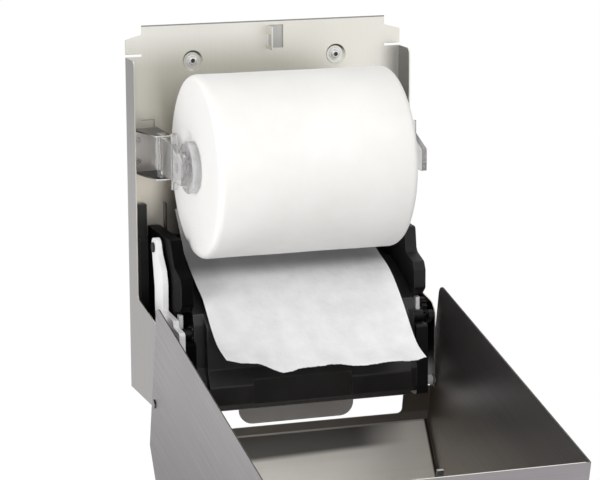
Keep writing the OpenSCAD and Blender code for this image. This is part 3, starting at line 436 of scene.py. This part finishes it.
def plate_finish():
    """Satin sheet of the back plate, plain grey behind, with a painted highlight along its edges and a thin
    painted shade line along its top edge.
    """
    f = Finish("plate_steel")
    t = f.tree
    streak = f.effect(brush_group, Stretch=(1100.0, 1100.0, 9.0))["Streak"]
    cloud = f.effect(cloud_group, Scale=6.0)["Cloud"]
    edges = f.effect(edge_group, Radius=0.0007)
    spot = f.parts(f.place)
    way = f.parts(f.coordinates.outputs["Normal"])
    height = mask(t, spot["Z"], -0.06, 0.06, smooth=True)
    worn = span(t, brushed_tone(t, streak, cloud, 0.35), 0, 1, 0.0, 0.12)
    shade = blend_colour(t, worn, plate_painted_light(t, spot, height), (0.22, 0.21, 0.19))
    shade = flange_sides(t, spot, way, height, dish_painted_light(t, way, shade))
    # Painted highlight along the edges
    shade = blend_colour(t, times(t, edges["Edge"], 0.35), shade, (0.75, 0.74, 0.72))
    shade = blend_colour(t, mask(t, way["Y"], 0.5, 0.6), shade, (0.46, 0.45, 0.43))
    # Painted shade in a thin line along the plate's top edge
    top_edge_shade = span(t, spot["Z"], PLATE_TOP - 0.0014, PLATE_TOP - 0.0010, 0, 0.8)
    f.link(blend_colour(t, top_edge_shade, shade, (0.13, 0.13, 0.135)), "Base Color")
    f.put(Metallic=1.0)
    f.link(span(t, streak, 0, 1, 0.34, 0.42), "Roughness")
    f.bump(streak, strength=0.03, distance=0.0002, normal=edges["Normal"])
    return f


def bracket_finish():
    """Bent sheet of the roll brackets: dull web, painted shade darkening the upper sides of its flanges, and
    a painted highlight on their front edges and along all edges.
    """
    f = Finish("bracket_steel")
    t = f.tree
    streak = f.effect(brush_group, Stretch=(600.0, 600.0, 12.0))["Streak"]
    cloud = f.effect(cloud_group, Scale=14.0)["Cloud"]
    edges = f.effect(edge_group, Radius=0.0006)
    spot = f.parts(f.place)
    way = f.parts(f.coordinates.outputs["Normal"])
    web = blend_colour(t, brushed_tone(t, streak, cloud, 0.4), (0.60, 0.57, 0.545), (0.72, 0.69, 0.66))
    # Painted shade on the upward-facing sides of the flanges, deepest on the lower flange
    lower = mask(t, spot["Z"], BRACKET_MID - 0.005, BRACKET_MID - 0.010)
    flange_top_shade = blend_colour(t, lower, (0.15, 0.145, 0.14), (0.040, 0.037, 0.035))
    body = blend_colour(t, mask(t, way["Z"], 0.6, 0.8), web, flange_top_shade)
    # Painted highlight on the front edges of the flanges and along all edges
    past_pin = mask(t, spot["Y"], -ARM_PIN_DEPTH, -ARM_PIN_DEPTH - 0.003)
    front = times(t, mask(t, way["Y"], -0.7, -0.8), past_pin)
    bright = math_node(t, "MAXIMUM", front, times(t, edges["Edge"], 0.3))
    f.link(blend_colour(t, bright, body, (0.93, 0.92, 0.90)), "Base Color")
    f.put(Metallic=1.0)
    f.link(span(t, streak, 0, 1, 0.32, 0.42), "Roughness")
    f.bump(streak, strength=0.03, distance=0.0002, normal=edges["Normal"])
    return f


def turned_shut(f):
    """Place and facing of the open cover's points once it is turned about the hinge until it is shut."""
    pivot = Vector((0, -HINGE_DEPTH, HINGE_Z))
    back = Matrix.Rotation(-COVER_OPEN, 3, "X")
    shut = node(f.tree, "ShaderNodeMapping", vector_type="POINT")
    shut.inputs["Rotation"].default_value = (-COVER_OPEN, 0, 0)
    shut.inputs["Location"].default_value = pivot - back @ pivot
    f.tree.links.new(f.place, shut.inputs["Vector"])
    facing = node(f.tree, "ShaderNodeMapping", vector_type="VECTOR")
    facing.inputs["Rotation"].default_value = (-COVER_OPEN, 0, 0)
    f.tree.links.new(f.coordinates.outputs["Normal"], facing.inputs["Vector"])
    return shut.outputs["Vector"], f.parts(facing.outputs["Vector"])


def outside_grey_and_shade(f, on_side, tone):
    """Outside of the cover: grey, with painted shade low down on its open sides."""
    t = f.tree
    low_side_shade = times(t, on_side, mask(t, f.parts(f.place)["Z"], -0.17, -0.32, smooth=True))
    grey = blend_colour(t, low_side_shade, (0.345, 0.324, 0.338), (0.190, 0.174, 0.184))
    return blend_colour(t, span(t, tone, 0, 1, 0, 0.30), grey, (0.19, 0.178, 0.185))


def slant_light_and_shade(t, spot, tone):
    """Inside of the slanted wall, in painted light and shade: pale, with a painted shadow band along its
    fold, a painted highlight on the fold and brown painted shade lines in its corners.
    """
    pale = blend_colour(t, tone, (0.90, 0.86, 0.79), (1.0, 0.97, 0.91))
    # Painted shadow band along the fold
    band_top = span(t, spot["X"], 0.11, -0.14, -0.2355, -0.2305)
    below_top = mask(t, math_node(t, "SUBTRACT", band_top, spot["Z"]), -0.002, 0.003, smooth=True)
    band = times(t, below_top, mask(t, spot["X"], 0.125, 0.065, smooth=True))
    shade = blend_colour(t, times(t, band, 0.93), pale, (0.10, 0.095, 0.088))
    # Painted highlight on the fold
    fold_line = mask(t, spot["Z"], COVER_LOW + 0.0016, COVER_LOW + 0.0010)
    shade = blend_colour(t, fold_line, shade, (0.62, 0.60, 0.55))
    # Painted shade in the corners
    from_middle = math_node(t, "ABSOLUTE", spot["X"])
    corner = mask(t, from_middle, COVER_SIDE - 0.0045, COVER_SIDE - 0.0028)
    return blend_colour(t, corner, shade, (0.020, 0.011, 0.006))


def bottom_painted_shade(t, spot):
    """Inside of the bottom wall, in painted shade: brown, and greyer on the strip before its slot."""
    strip = mask(t, spot["Y"], -SLOT_FRONT, -SLOT_FRONT - 0.002)
    return blend_colour(t, strip, (0.17, 0.145, 0.12), (0.24, 0.225, 0.21))


def side_painted_shade(t, spot):
    """Inside of the side walls, in painted shade: nearly black at the rear, brown towards the front."""
    reach = mask(t, spot["Y"], -0.06, -0.25)
    return blend_colour(t, reach, (0.058, 0.053, 0.052), (0.27, 0.235, 0.195))


def cover_finish():
    """Brushed sheet of the cover, with painted light and shade inside each wall and duller there, and a
    painted highlight along its edges.
    """
    f = Finish("cover_steel")
    t = f.tree
    place, way = turned_shut(f)
    spot = f.parts(place)
    on_side = on_sides(t, way)
    along = f.effect(brush_group, place, Stretch=(6.0, 800.0, 800.0))["Streak"]
    upright = f.effect(brush_group, place, Stretch=(800.0, 800.0, 6.0))["Streak"]
    streak = blend_value(t, on_side, along, upright)
    cloud = f.effect(cloud_group, place, Scale=11.0)["Cloud"]
    edges = f.effect(edge_group, Radius=0.0009)
    tone = brushed_tone(t, streak, cloud, 0.4)
    # The inner walls take painted light and shade by the way each of them faces
    slant_in = times(t, mask(t, way["Y"], 0.4, 0.5), mask(t, way["X"], 0.6, 0.5))
    bottom_in = times(t, mask(t, way["Z"], 0.8, 0.9), mask(t, spot["Z"], -0.2, -0.21))
    side_in = on_inner_sides(t, spot, way)
    colour = outside_grey_and_shade(f, on_side, tone)
    colour = blend_colour(t, slant_in, colour, slant_light_and_shade(t, spot, tone))
    colour = blend_colour(t, bottom_in, colour, bottom_painted_shade(t, spot))
    colour = blend_colour(t, side_in, colour, side_painted_shade(t, spot))
    # Painted highlight along the edges
    f.link(blend_colour(t, times(t, edges["Edge"], 0.45), colour, (0.55, 0.53, 0.50)), "Base Color")
    dull_dark = times(t, math_node(t, "MAXIMUM", side_in, bottom_in), 0.45)
    dull = math_node(t, "ADD", dull_dark, times(t, slant_in, 0.4))
    f.link(math_node(t, "SUBTRACT", 1.0, dull), "Metallic")
    f.link(span(t, streak, 0, 1, 0.33, 0.44), "Roughness")
    f.bump(streak, strength=0.04, distance=0.0002, normal=edges["Normal"])
    return f


def clear_finish(name, dark, light, clearness):
    """Clear moulded plastic, a little grey or milky in its depth."""
    f = Finish(name)
    t = f.tree
    cloud = f.effect(cloud_group, Scale=90.0)["Cloud"]
    f.link(blend_colour(t, cloud, dark, light), "Base Color")
    f.link(span(t, cloud, 0, 1, 0.05, 0.14), "Roughness")
    f.put(Transmission_Weight=clearness, IOR=1.45, Specular_IOR_Level=0.7)
    edges = f.effect(edge_group, Radius=0.0008)
    f.link(edges["Normal"], "Normal")
    return f


def winding_finish():
    """Wound towel: embossed crepe round the roll, edge-on layers at its ends."""
    f = Finish("towel_winding_paper")
    t = f.tree
    centred = node(t, "ShaderNodeMapping", vector_type="POINT")
    centred.inputs["Location"].default_value = (0, ROLL_DEPTH, -ROLL_Z)
    t.links.new(f.place, centred.inputs["Vector"])
    facing = math_node(t, "ABSOLUTE", f.parts(f.coordinates.outputs["Normal"])["X"])
    end = mask(t, facing, 0.6, 0.9)
    layers = node(t, "ShaderNodeTexWave", wave_type="RINGS", rings_direction="X",
                  in_Scale=180.0, in_Distortion=1.2, in_Detail=2.0, in_Detail_Scale=2.0)
    t.links.new(centred.outputs["Vector"], layers.inputs["Vector"])
    crepe = node(t, "ShaderNodeTexNoise", in_Scale=420.0, in_Detail=4.0)
    t.links.new(f.place, crepe.inputs["Vector"])
    cloud = f.effect(cloud_group, Scale=18.0)["Cloud"]
    body = blend_colour(t, cloud, (0.80, 0.795, 0.777), (0.845, 0.84, 0.825))
    edge_on = blend_colour(t, layers.outputs["Fac"], (0.90, 0.895, 0.88), (0.95, 0.945, 0.935))
    f.link(blend_colour(t, end, body, edge_on), "Base Color")
    f.put(Roughness=0.92, Specular_IOR_Level=0.15)
    height = blend_value(t, end, crepe.outputs["Fac"], layers.outputs["Fac"])
    f.bump(height, strength=0.35, distance=0.0004)
    return f


def tail_finish():
    """Loose towel: cool white crepe with a faint emboss, and a painted shadow where it goes up behind the
    roll.
    """
    f = Finish("towel_tail_paper")
    t = f.tree
    crepe = node(t, "ShaderNodeTexNoise", in_Scale=520.0, in_Detail=5.0, in_Roughness=0.6)
    dots = node(t, "ShaderNodeTexVoronoi", in_Scale=150.0)
    for texture in (crepe, dots):
        t.links.new(f.place, texture.inputs["Vector"])
    cloud = f.effect(cloud_group, Scale=60.0)["Cloud"]
    white = blend_colour(t, cloud, (0.82, 0.825, 0.835), (0.90, 0.90, 0.905))
    # Painted shadow where the sheet goes up behind the roll
    roll_shadow = span(t, f.parts(f.place)["Y"], -0.100, -0.076, 0, 0.75, smooth=True)
    f.link(blend_colour(t, roll_shadow, white, (0.155, 0.155, 0.16)), "Base Color")
    f.put(Roughness=0.95, Specular_IOR_Level=0.12)
    height = math_node(t, "ADD", crepe.outputs["Fac"], times(t, dots.outputs["Distance"], 0.6))
    f.bump(height, strength=0.5, distance=0.0005)
    return f


def board_finish():
    """Grey-brown core board with the seam of its spiral winding."""
    f = Finish("core_board")
    t = f.tree
    spiral = node(t, "ShaderNodeTexWave", wave_type="BANDS", bands_direction="DIAGONAL",
                  in_Scale=14.0, in_Distortion=0.4)
    t.links.new(f.place, spiral.inputs["Vector"])
    fibre = node(t, "ShaderNodeTexNoise", in_Scale=600.0, in_Detail=3.0)
    t.links.new(f.place, fibre.inputs["Vector"])
    body = blend_colour(t, spiral.outputs["Fac"], (0.33, 0.25, 0.17), (0.46, 0.37, 0.26))
    f.link(body, "Base Color")
    f.put(Roughness=0.9)
    f.bump(fibre.outputs["Fac"], strength=0.3, distance=0.0003)
    return f


EVEN, FINE, UPRIGHT = (300.0, 300.0, 300.0), (500.0, 500.0, 500.0), (900.0, 900.0, 9.0)
plate_steel = plate_finish()
bracket_steel = bracket_finish()
cover_steel = cover_finish()
hardware_steel = steel(
    "hardware_steel", (0.36, 0.36, 0.35), (0.58, 0.58, 0.57), rough=0.28, stretch=EVEN)
# Near-black steel as painted shade behind the lanced cuts and in the screw sockets
painted_shade_steel = steel(
    "painted_shade_steel", (0.05, 0.047, 0.042), (0.09, 0.085, 0.078), rough=0.45, stretch=EVEN, painted_edge_highlight=0.0)
keeper_steel = steel(
    "keeper_steel", (0.47, 0.47, 0.455), (0.54, 0.535, 0.52), rough=0.42, stretch=UPRIGHT, painted_edge_highlight=0.0)
screw_steel = steel(
    "screw_steel", (0.62, 0.62, 0.61), (0.86, 0.86, 0.85), rough=0.22, stretch=EVEN)
spring_steel = steel(
    "spring_steel", (0.30, 0.30, 0.31), (0.50, 0.50, 0.51), rough=0.25, stretch=FINE)
clear_plastic = clear_finish(
    "clear_plastic", (0.78, 0.775, 0.775), (0.88, 0.875, 0.875), clearness=0.88)
milky_plastic = clear_finish(
    "milky_plastic", (0.90, 0.90, 0.905), (0.95, 0.95, 0.955), clearness=0.70)
winding_paper = winding_finish()
tail_paper = tail_finish()
core_board = board_finish()
black_plastic = plastic(
    "black_plastic", (0.0050, 0.0047, 0.0050), (0.0105, 0.0098, 0.0102), rough=0.46, shine=0.3)
nose_plastic = plastic(
    "nose_plastic", (0.015, 0.0143, 0.014), (0.026, 0.0248, 0.0243), rough=0.38, painted_edge_highlight=0.8, shine=0.45)
# A darker, duller copy of the black plastic, as painted shade on the left cheek
deep_black = plastic(
    "deep_black_plastic", (0.0016, 0.0014, 0.0016), (0.0030, 0.0028, 0.0030), rough=0.55,
    painted_edge_highlight=0.1, shine=0.04)
white_plastic = plastic(
    "white_plastic", (0.88, 0.87, 0.875), (0.93, 0.925, 0.93), rough=0.34, painted_edge_highlight=0.3, grain=0.05)
grey_plastic = plastic(
    "grey_plastic", (0.70, 0.68, 0.665), (0.78, 0.755, 0.74), rough=0.45)
roller_rubber = plastic(
    "roller_rubber", (0.020, 0.020, 0.020), (0.034, 0.033, 0.033), rough=0.75, painted_edge_highlight=0.1, grain=0.3)

finish_of_slot = {
    "plate_steel": plate_steel, "cover_steel": cover_steel, "hardware_steel": hardware_steel,
    "spring_steel": spring_steel, "clear_plastic": clear_plastic, "towel_paper": winding_paper,
    "core_board": core_board, "black_plastic": black_plastic, "white_plastic": white_plastic,
    "grey_plastic": grey_plastic, "roller_rubber": roller_rubber,
}
# chassis_back takes the lighter nose plastic as painted light on its lit ear, and cheek_left the darker copy
# as painted shade
finish_of_node = {
    "bracket_left": bracket_steel, "bracket_right": bracket_steel,
    "hinge_pin_left": cover_steel, "hinge_pin_right": cover_steel,
    "nose_cover": nose_plastic, "chassis_back": nose_plastic, "cheek_left": deep_black,
    "hub_left": milky_plastic, "hub_right": milky_plastic,
}
for part in frame["record"]["subparts"]:
    mesh = nodes[part["node"]].data
    mesh.materials.clear()
    finish = finish_of_node.get(part["node"], finish_of_slot[part["material_slot"]])
    mesh.materials.append(finish.material)


def dress(piece, finish, slot, body, *stands_for):
    """Gives a new piece its finish and the body that it rides on, if it rides on one; the slot is not used.
    """
    piece.data.materials.clear()
    piece.data.materials.append(finish.material)
    if body:
        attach(piece, body)
    if stands_for:
        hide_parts(*stands_for)


# The wound towel, with soft rims and slightly uneven ends

def make_winding():
    uneven = [(0.0004, CORE_R + 0.0002), (0.0009, 0.030), (0.0003, 0.041), (0.0008, 0.052), (0.0002, 0.064),
              (0.0006, 0.074), (0.0003, 0.0815)]
    rim = [(0.0009, ROLL_R - 0.0045), (0.0021, ROLL_R - 0.0021), (0.0041, ROLL_R - 0.0006), (0.0068, ROLL_R)]
    dips = [(0.2, 0.0003), (0.4, 0.0001), (0.6, 0.0004), (0.8, 0.0001)]
    ends = uneven + rim
    rings = [(ROLL_LEFT + place, radius) for place, radius in ends]
    rings += [(ROLL_LEFT + TOWEL_W * share, ROLL_R - dip) for share, dip in dips]
    rings += [(ROLL_RIGHT - place, radius) for place, radius in reversed(ends)]
    rings.append(rings[0])
    piece = turned("towel_winding", Vector((0, -ROLL_DEPTH, ROLL_Z)), "X", rings, segments=128, looped=True)
    dress(piece, winding_paper, "towel_paper", "roll", "towel_roll")


make_winding()


# The towel's loose end, a sheet from the roll over the deck to its torn edge

TAIL_OFF = ROLL_R + FACE_GAP + TOWEL_T
TAIL_START = (ROLL_DEPTH - 0.8 * TAIL_OFF, ROLL_Z - 0.6 * TAIL_OFF)
TAIL_BEHIND = (ROLL_DEPTH - 0.653 * TAIL_OFF, ROLL_Z - 0.814 * TAIL_OFF)
TAIL_LEFT = [
    TAIL_START, TAIL_BEHIND,
    (LEVER_DEPTH + 0.002, DECK_Z + 0.016), (LEVER_DEPTH + 0.039, DECK_Z - 0.006),
    (DECK_FRONT - 0.005, DECK_Z - 0.018), (NOSE_DEPTH - 0.003, NOSE_TOP - 0.011),
    (NOSE_DEPTH + 0.017, NOSE_TOP - 0.024), (NOSE_DEPTH + 0.044, NOSE_TOP - 0.031),
]
TAIL_RIGHT = [
    TAIL_START, TAIL_BEHIND,
    (LEVER_DEPTH - 0.001, DECK_Z + 0.014), (LEVER_DEPTH + 0.046, DECK_Z - 0.005),
    (NOSE_DEPTH - 0.011, NOSE_TOP + 0.001), (NOSE_DEPTH + 0.014, NOSE_TOP - 0.023),
    (NOSE_DEPTH + 0.031, NOSE_TOP - 0.036), (NOSE_DEPTH + 0.056, NOSE_TOP - 0.043),
]
TAIL_COLUMNS, TAIL_ROWS = 120, 120
TAIL_SAG, TAIL_DROOP = 0.007, 0.007
DROOP_AT, DROOP_SPREAD = 0.29, 0.12
TAIL_LENGTH, TAIL_PLY = 0.2135, 0.0004


def on_curve(points, s):
    """Point of the smooth curve through the points, at place s in steps."""
    i = min(int(s), len(points) - 2)
    t = s - i
    p0, p1 = Vector(points[max(i - 1, 0)]), Vector(points[i])
    p2, p3 = Vector(points[i + 1]), Vector(points[min(i + 2, len(points) - 1)])
    return 0.5 * (2 * p1 + (p2 - p0) * t + (2 * p0 - 5 * p1 + 4 * p2 - p3) * t * t
                  + (3 * p1 - p0 - 3 * p2 + p3) * t * t * t)


def sine(degrees):
    return math.sin(math.radians(degrees))


def torn(u):
    """Share of the length left at a place across the torn edge: long waves, then short ragged fibres."""
    ragged = 0.0035 * sine(6100 * u + 30) * sine(900 * u) + 0.0025 * sine(15500 * u + 80)
    return 0.975 + 0.012 * sine(520 * u + 40) + 0.010 * sine(1700 * u) + ragged


def tail_place(u, v):
    """Place of the sheet at u across and v along, with shallow cockles in the loose part."""
    s = v * torn(u) * (len(TAIL_LEFT) - 1)
    p = on_curve(TAIL_LEFT, s) * (1 - u) + on_curve(TAIL_RIGHT, s) * u
    loose = min(1.0, max(0.0, (v - 0.35) / 0.4))
    cockle = 0.0006 * loose * (sine(1150 * u + 240 * v) + 0.6 * sine(2100 * u - 700 * v + 50))
    sag = TAIL_SAG * sine(180 * u) * v * v
    droop = TAIL_DROOP * math.exp(-((u - DROOP_AT) / DROOP_SPREAD) ** 2) * v ** 5
    return (u - 0.5) * TOWEL_W + ROLL_SHIFT * (1 - v), -p[0], p[1] - sag - droop + cockle


def make_tail():
    across = TAIL_COLUMNS + 1
    points = [tail_place(i / TAIL_COLUMNS, j / TAIL_ROWS)
              for j in range(TAIL_ROWS + 1) for i in range(across)]
    faces = [(j * across + i, j * across + i + 1, (j + 1) * across + i + 1, (j + 1) * across + i)
             for j in range(TAIL_ROWS) for i in range(TAIL_COLUMNS)]
    mesh = bpy.data.meshes.new("towel_sheet")
    mesh.from_pydata(points, [], faces)
    sheet = bpy.data.objects.new("towel_sheet", mesh)
    bpy.context.scene.collection.objects.link(sheet)
    ply = sheet.modifiers.new("ply", "SOLIDIFY")
    ply.thickness = TAIL_PLY
    ply.offset = 0
    apply_modifier(sheet, ply)
    settle(sheet, "towel_sheet", smooth=60)
    dress(sheet, tail_paper, "towel_paper", "frame", "towel_tail")


make_tail()


# Springs of round wire

ARM_WIRE, ARM_COIL_R, ARM_TURNS = 0.0012, 0.0045, 4
ARM_COIL_LOW = BRACKET_MID - BRACKET_H / 2 + FACE_GAP + ARM_WIRE / 2
ARM_COIL_ROOM = 0.0085
ARM_COIL_H = ARM_COIL_ROOM - 2 * FACE_GAP - ARM_WIRE
RETURN_WIRE, RETURN_COIL_R, RETURN_TURNS = 0.0014, 0.006, 15
RETURN_COIL_Z = -0.230
RETURN_COIL_BACK = CHASSIS_FLOOR + FACE_GAP + RETURN_WIRE / 2
RETURN_COIL_L = BAR_DEPTH - CHASSIS_FLOOR - 2 * FACE_GAP - RETURN_WIRE


def make_arm_springs():
    for side, word in ((-1, "left"), (1, "right")):
        spring = coil(
            f"arm_coil_{word}", (side * ARM_PIN_X, -ARM_PIN_DEPTH, ARM_COIL_LOW), "Z",
            turns=ARM_TURNS, radius=ARM_COIL_R, pitch=ARM_COIL_H / ARM_TURNS, wire=ARM_WIRE)
        dress(spring, spring_steel, "spring_steel", "frame", f"arm_spring_{word}")


def make_return_spring():
    """The levers' spring, between the frame and the cross bar."""
    spring = coil(
        "return_coil", (0, -RETURN_COIL_BACK, RETURN_COIL_Z), "Y",
        turns=RETURN_TURNS, radius=RETURN_COIL_R, pitch=RETURN_COIL_L / RETURN_TURNS, wire=RETURN_WIRE)
    dress(spring, spring_steel, "spring_steel", None, "return_spring")
    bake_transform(spring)


make_arm_springs()
make_return_spring()


# Wall screws in the plate's dished seats: thin washer, domed head, hexagon socket and its bed, dark as
# painted shade

SOCKET_R, SOCKET_BACK, SOCKET_FRONT = 0.0024, 0.0024, 0.0064
BED_R, BED_BACK, BED_FRONT = 0.0023, 0.0025, 0.0037
BED_RIM, BED_HOLLOW = 0.0012, 0.0004


def hexagon(radius, back, front):
    """A hexagonal bar along Y, from one distance before the wall to another."""
    deselect()
    bpy.ops.mesh.primitive_cylinder_add(
        vertices=6, radius=radius, depth=front - back,
        location=(0, -(back + front) / 2, 0), rotation=(math.pi / 2, 0, 0))
    return bpy.context.active_object


def hollow_front(bar):
    """Sinks the bar's front face, the one on its own Z axis, inside a sloping rim."""
    bpy.ops.object.mode_set(mode="EDIT")
    bpy.ops.mesh.select_mode(type="FACE")
    bpy.ops.mesh.select_all(action="DESELECT")
    bpy.ops.object.mode_set(mode="OBJECT")
    for face in bar.data.polygons:
        face.select = face.normal.z > 0.9
    bpy.ops.object.mode_set(mode="EDIT")
    bpy.ops.mesh.inset(thickness=BED_RIM, depth=-BED_HOLLOW)
    bpy.ops.mesh.select_mode(type="VERT")
    bpy.ops.object.mode_set(mode="OBJECT")


def make_screw():
    washer = [(0.0001, 0.0023), (0.0012, 0.0023), (0.0012, 0.0062), (0.0015, 0.0064), (0.0017, 0.0062)]
    head = [(0.0018, 0.0044), (0.0030, 0.0044), (0.0040, 0.0040), (0.0045, 0.0032), (0.0046, 0.0027)]
    screw = turned("wall_screw", Vector((0, 0, 0)), "Y", washer + head, segments=36)
    key = hexagon(SOCKET_R, SOCKET_BACK, SOCKET_FRONT)
    socket = screw.modifiers.new("socket", "BOOLEAN")
    socket.operation = "DIFFERENCE"
    socket.solver = "EXACT"
    socket.object = key
    apply_modifier(screw, socket)
    bpy.data.objects.remove(key)
    return screw


def put_copy(piece, name, x, z, finish):
    """Sets a copy of a screw's piece, with a mesh of its own, at a place on the plate."""
    one = piece.copy()
    one.data = piece.data.copy()
    bpy.context.scene.collection.objects.link(one)
    one.location = one.location + Vector((x, 0, z))
    settle(one, name)
    dress(one, finish, "hardware_steel", "frame")


def make_wall_screws():
    screw = make_screw()
    bed = hexagon(BED_R, BED_BACK, BED_FRONT)
    hollow_front(bed)
    places = [(x, z) for x in (-SCREW_X, SCREW_X) for z in (-SCREW_Z, SCREW_Z)]
    for number, (x, z) in enumerate(places, start=1):
        put_copy(screw, f"wall_screw_{number}", x, z, screw_steel)
        put_copy(bed, f"screw_socket_{number}", x, z, painted_shade_steel)
    bpy.data.objects.remove(screw)
    bpy.data.objects.remove(bed)


make_wall_screws()


# Sheet tongues behind the plate's lanced cuts, dark as painted shade, and behind the keeper's window

TONGUE_MIDDLE, TONGUE_T, TONGUE_EDGE = 0.00195, 0.0010, 0.0002
TONGUES = {
    "tongue_left": ((-0.1301, -0.1159), (0.0150, 0.0240), painted_shade_steel),
    "tongue_right": ((0.1159, 0.1301), (0.0150, 0.0240), painted_shade_steel),
    "keeper_back": ((0.0012, 0.0215), (0.0875, 0.1142), keeper_steel),
}


def make_tongue(name, across, up, finish):
    """A flat piece with rounded edges, from its reach across and its reach up."""
    (left, right), (low, high) = across, up
    deselect()
    bpy.ops.mesh.primitive_cube_add(size=1, location=((left + right) / 2, -TONGUE_MIDDLE, (low + high) / 2))
    tongue = bpy.context.active_object
    tongue.scale = (right - left, TONGUE_T, high - low)
    bpy.ops.object.transform_apply(location=True, rotation=True, scale=True)
    bpy.ops.object.mode_set(mode="EDIT")
    bpy.ops.mesh.select_all(action="SELECT")
    bpy.ops.mesh.bevel(offset=TONGUE_EDGE, segments=3)
    bpy.ops.object.mode_set(mode="OBJECT")
    settle(tongue, name)
    dress(tongue, finish, "plate_steel", "frame")


for tongue_name, (across, up, finish) in TONGUES.items():
    make_tongue(tongue_name, across, up, finish)


# Camera, floor and light

CAMERA_PLACE = (-0.76685, -2.44726, 0.41367)
CAMERA_TILT, CAMERA_PAN, CAMERA_ROLL = math.radians(78.473), math.radians(-18.196), math.radians(-0.305)
SENSOR_MM, LENS_MM = 36, 152.9
FLOOR_Z, FLOOR_SIZE = -1.1, 40
MIDDLE, MECHANISM = (0, -0.15, -0.05), (0, -0.1, -0.20)


def make_camera():
    data = bpy.data.cameras.new("camera")
    data.sensor_width = SENSOR_MM
    data.sensor_fit = "HORIZONTAL"
    data.lens = LENS_MM
    camera = bpy.data.objects.new("camera", data)
    turn = Euler((CAMERA_TILT, 0, CAMERA_PAN)).to_matrix() @ Matrix.Rotation(CAMERA_ROLL, 3, "Z")
    camera.matrix_world = Matrix.Translation(CAMERA_PLACE) @ turn.to_4x4()
    bpy.context.scene.collection.objects.link(camera)
    bpy.context.scene.camera = camera


def seen_or_mirrored(tree):
    """1 for rays from the camera, and for mirrored and refracted ones."""
    path = tree.nodes.new("ShaderNodeLightPath")
    direct = math_node(tree, "MAXIMUM", path.outputs["Is Camera Ray"], path.outputs["Is Glossy Ray"])
    return math_node(tree, "MAXIMUM", direct, path.outputs["Is Transmission Ray"])


def make_floor():
    """A pale floor that shows as white and still takes a little of the object's shadow."""
    deselect()
    bpy.ops.mesh.primitive_plane_add(size=FLOOR_SIZE, location=(0, 0, FLOOR_Z))
    floor = bpy.context.active_object
    floor.name = "floor"
    material = bpy.data.materials.new("pale_floor")
    material.use_nodes = True
    t = material.node_tree
    t.nodes.clear()
    output = t.nodes.new("ShaderNodeOutputMaterial")
    matt = node(t, "ShaderNodeBsdfDiffuse", in_Color=(0.82, 0.82, 0.82, 1))
    glow = node(t, "ShaderNodeEmission", in_Color=(1, 1, 1, 1), in_Strength=1.05)
    mix = t.nodes.new("ShaderNodeMixShader")
    t.links.new(times(t, seen_or_mirrored(t), 0.93), mix.inputs[0])
    t.links.new(matt.outputs[0], mix.inputs[1])
    t.links.new(glow.outputs[0], mix.inputs[2])
    t.links.new(mix.outputs[0], output.inputs["Surface"])
    floor.data.materials.append(material)


def make_world():
    """A white room, dimmer as a light than it looks."""
    world = bpy.data.worlds.new("studio")
    bpy.context.scene.world = world
    world.use_nodes = True
    t = world.node_tree
    t.nodes.clear()
    output = t.nodes.new("ShaderNodeOutputWorld")
    room = node(t, "ShaderNodeBackground", in_Color=(1.0, 0.995, 0.985, 1), in_Strength=0.54)
    white = node(t, "ShaderNodeBackground", in_Color=(1, 1, 1, 1), in_Strength=1.0)
    mix = t.nodes.new("ShaderNodeMixShader")
    t.links.new(seen_or_mirrored(t), mix.inputs[0])
    t.links.new(room.outputs[0], mix.inputs[1])
    t.links.new(white.outputs[0], mix.inputs[2])
    t.links.new(mix.outputs[0], output.inputs["Surface"])


def soft_lamp(name, place, target, size, watts, mirrored=True):
    """A round area lamp; one that isn't mirrored leaves no streak on the steel."""
    data = bpy.data.lights.new(name, "AREA")
    data.shape = "DISK"
    data.size = size
    data.energy = watts
    lamp = bpy.data.objects.new(name, data)
    lamp.location = place
    lamp.rotation_euler = (Vector(target) - Vector(place)).to_track_quat("-Z", "Y").to_euler()
    lamp.visible_glossy = mirrored
    bpy.context.scene.collection.objects.link(lamp)


make_camera()
make_floor()
make_world()
soft_lamp("key_lamp", (-0.9, -2.2, 1.7), MIDDLE, size=1.4, watts=3.5)
soft_lamp("top_lamp", (0.2, -0.5, 1.9), MIDDLE, size=1.4, watts=13, mirrored=False)
soft_lamp("left_lamp", (-2.4, -1.3, 0.3), MIDDLE, size=1.6, watts=31, mirrored=False)
soft_lamp("fill_lamp", (1.8, -1.9, 0.5), MIDDLE, size=1.6, watts=1.5)
soft_lamp("low_lamp", (-0.4, -2.2, -0.38), MECHANISM, size=1.0, watts=15.5, mirrored=False)
bpy.context.scene.view_settings.view_transform = "Standard"
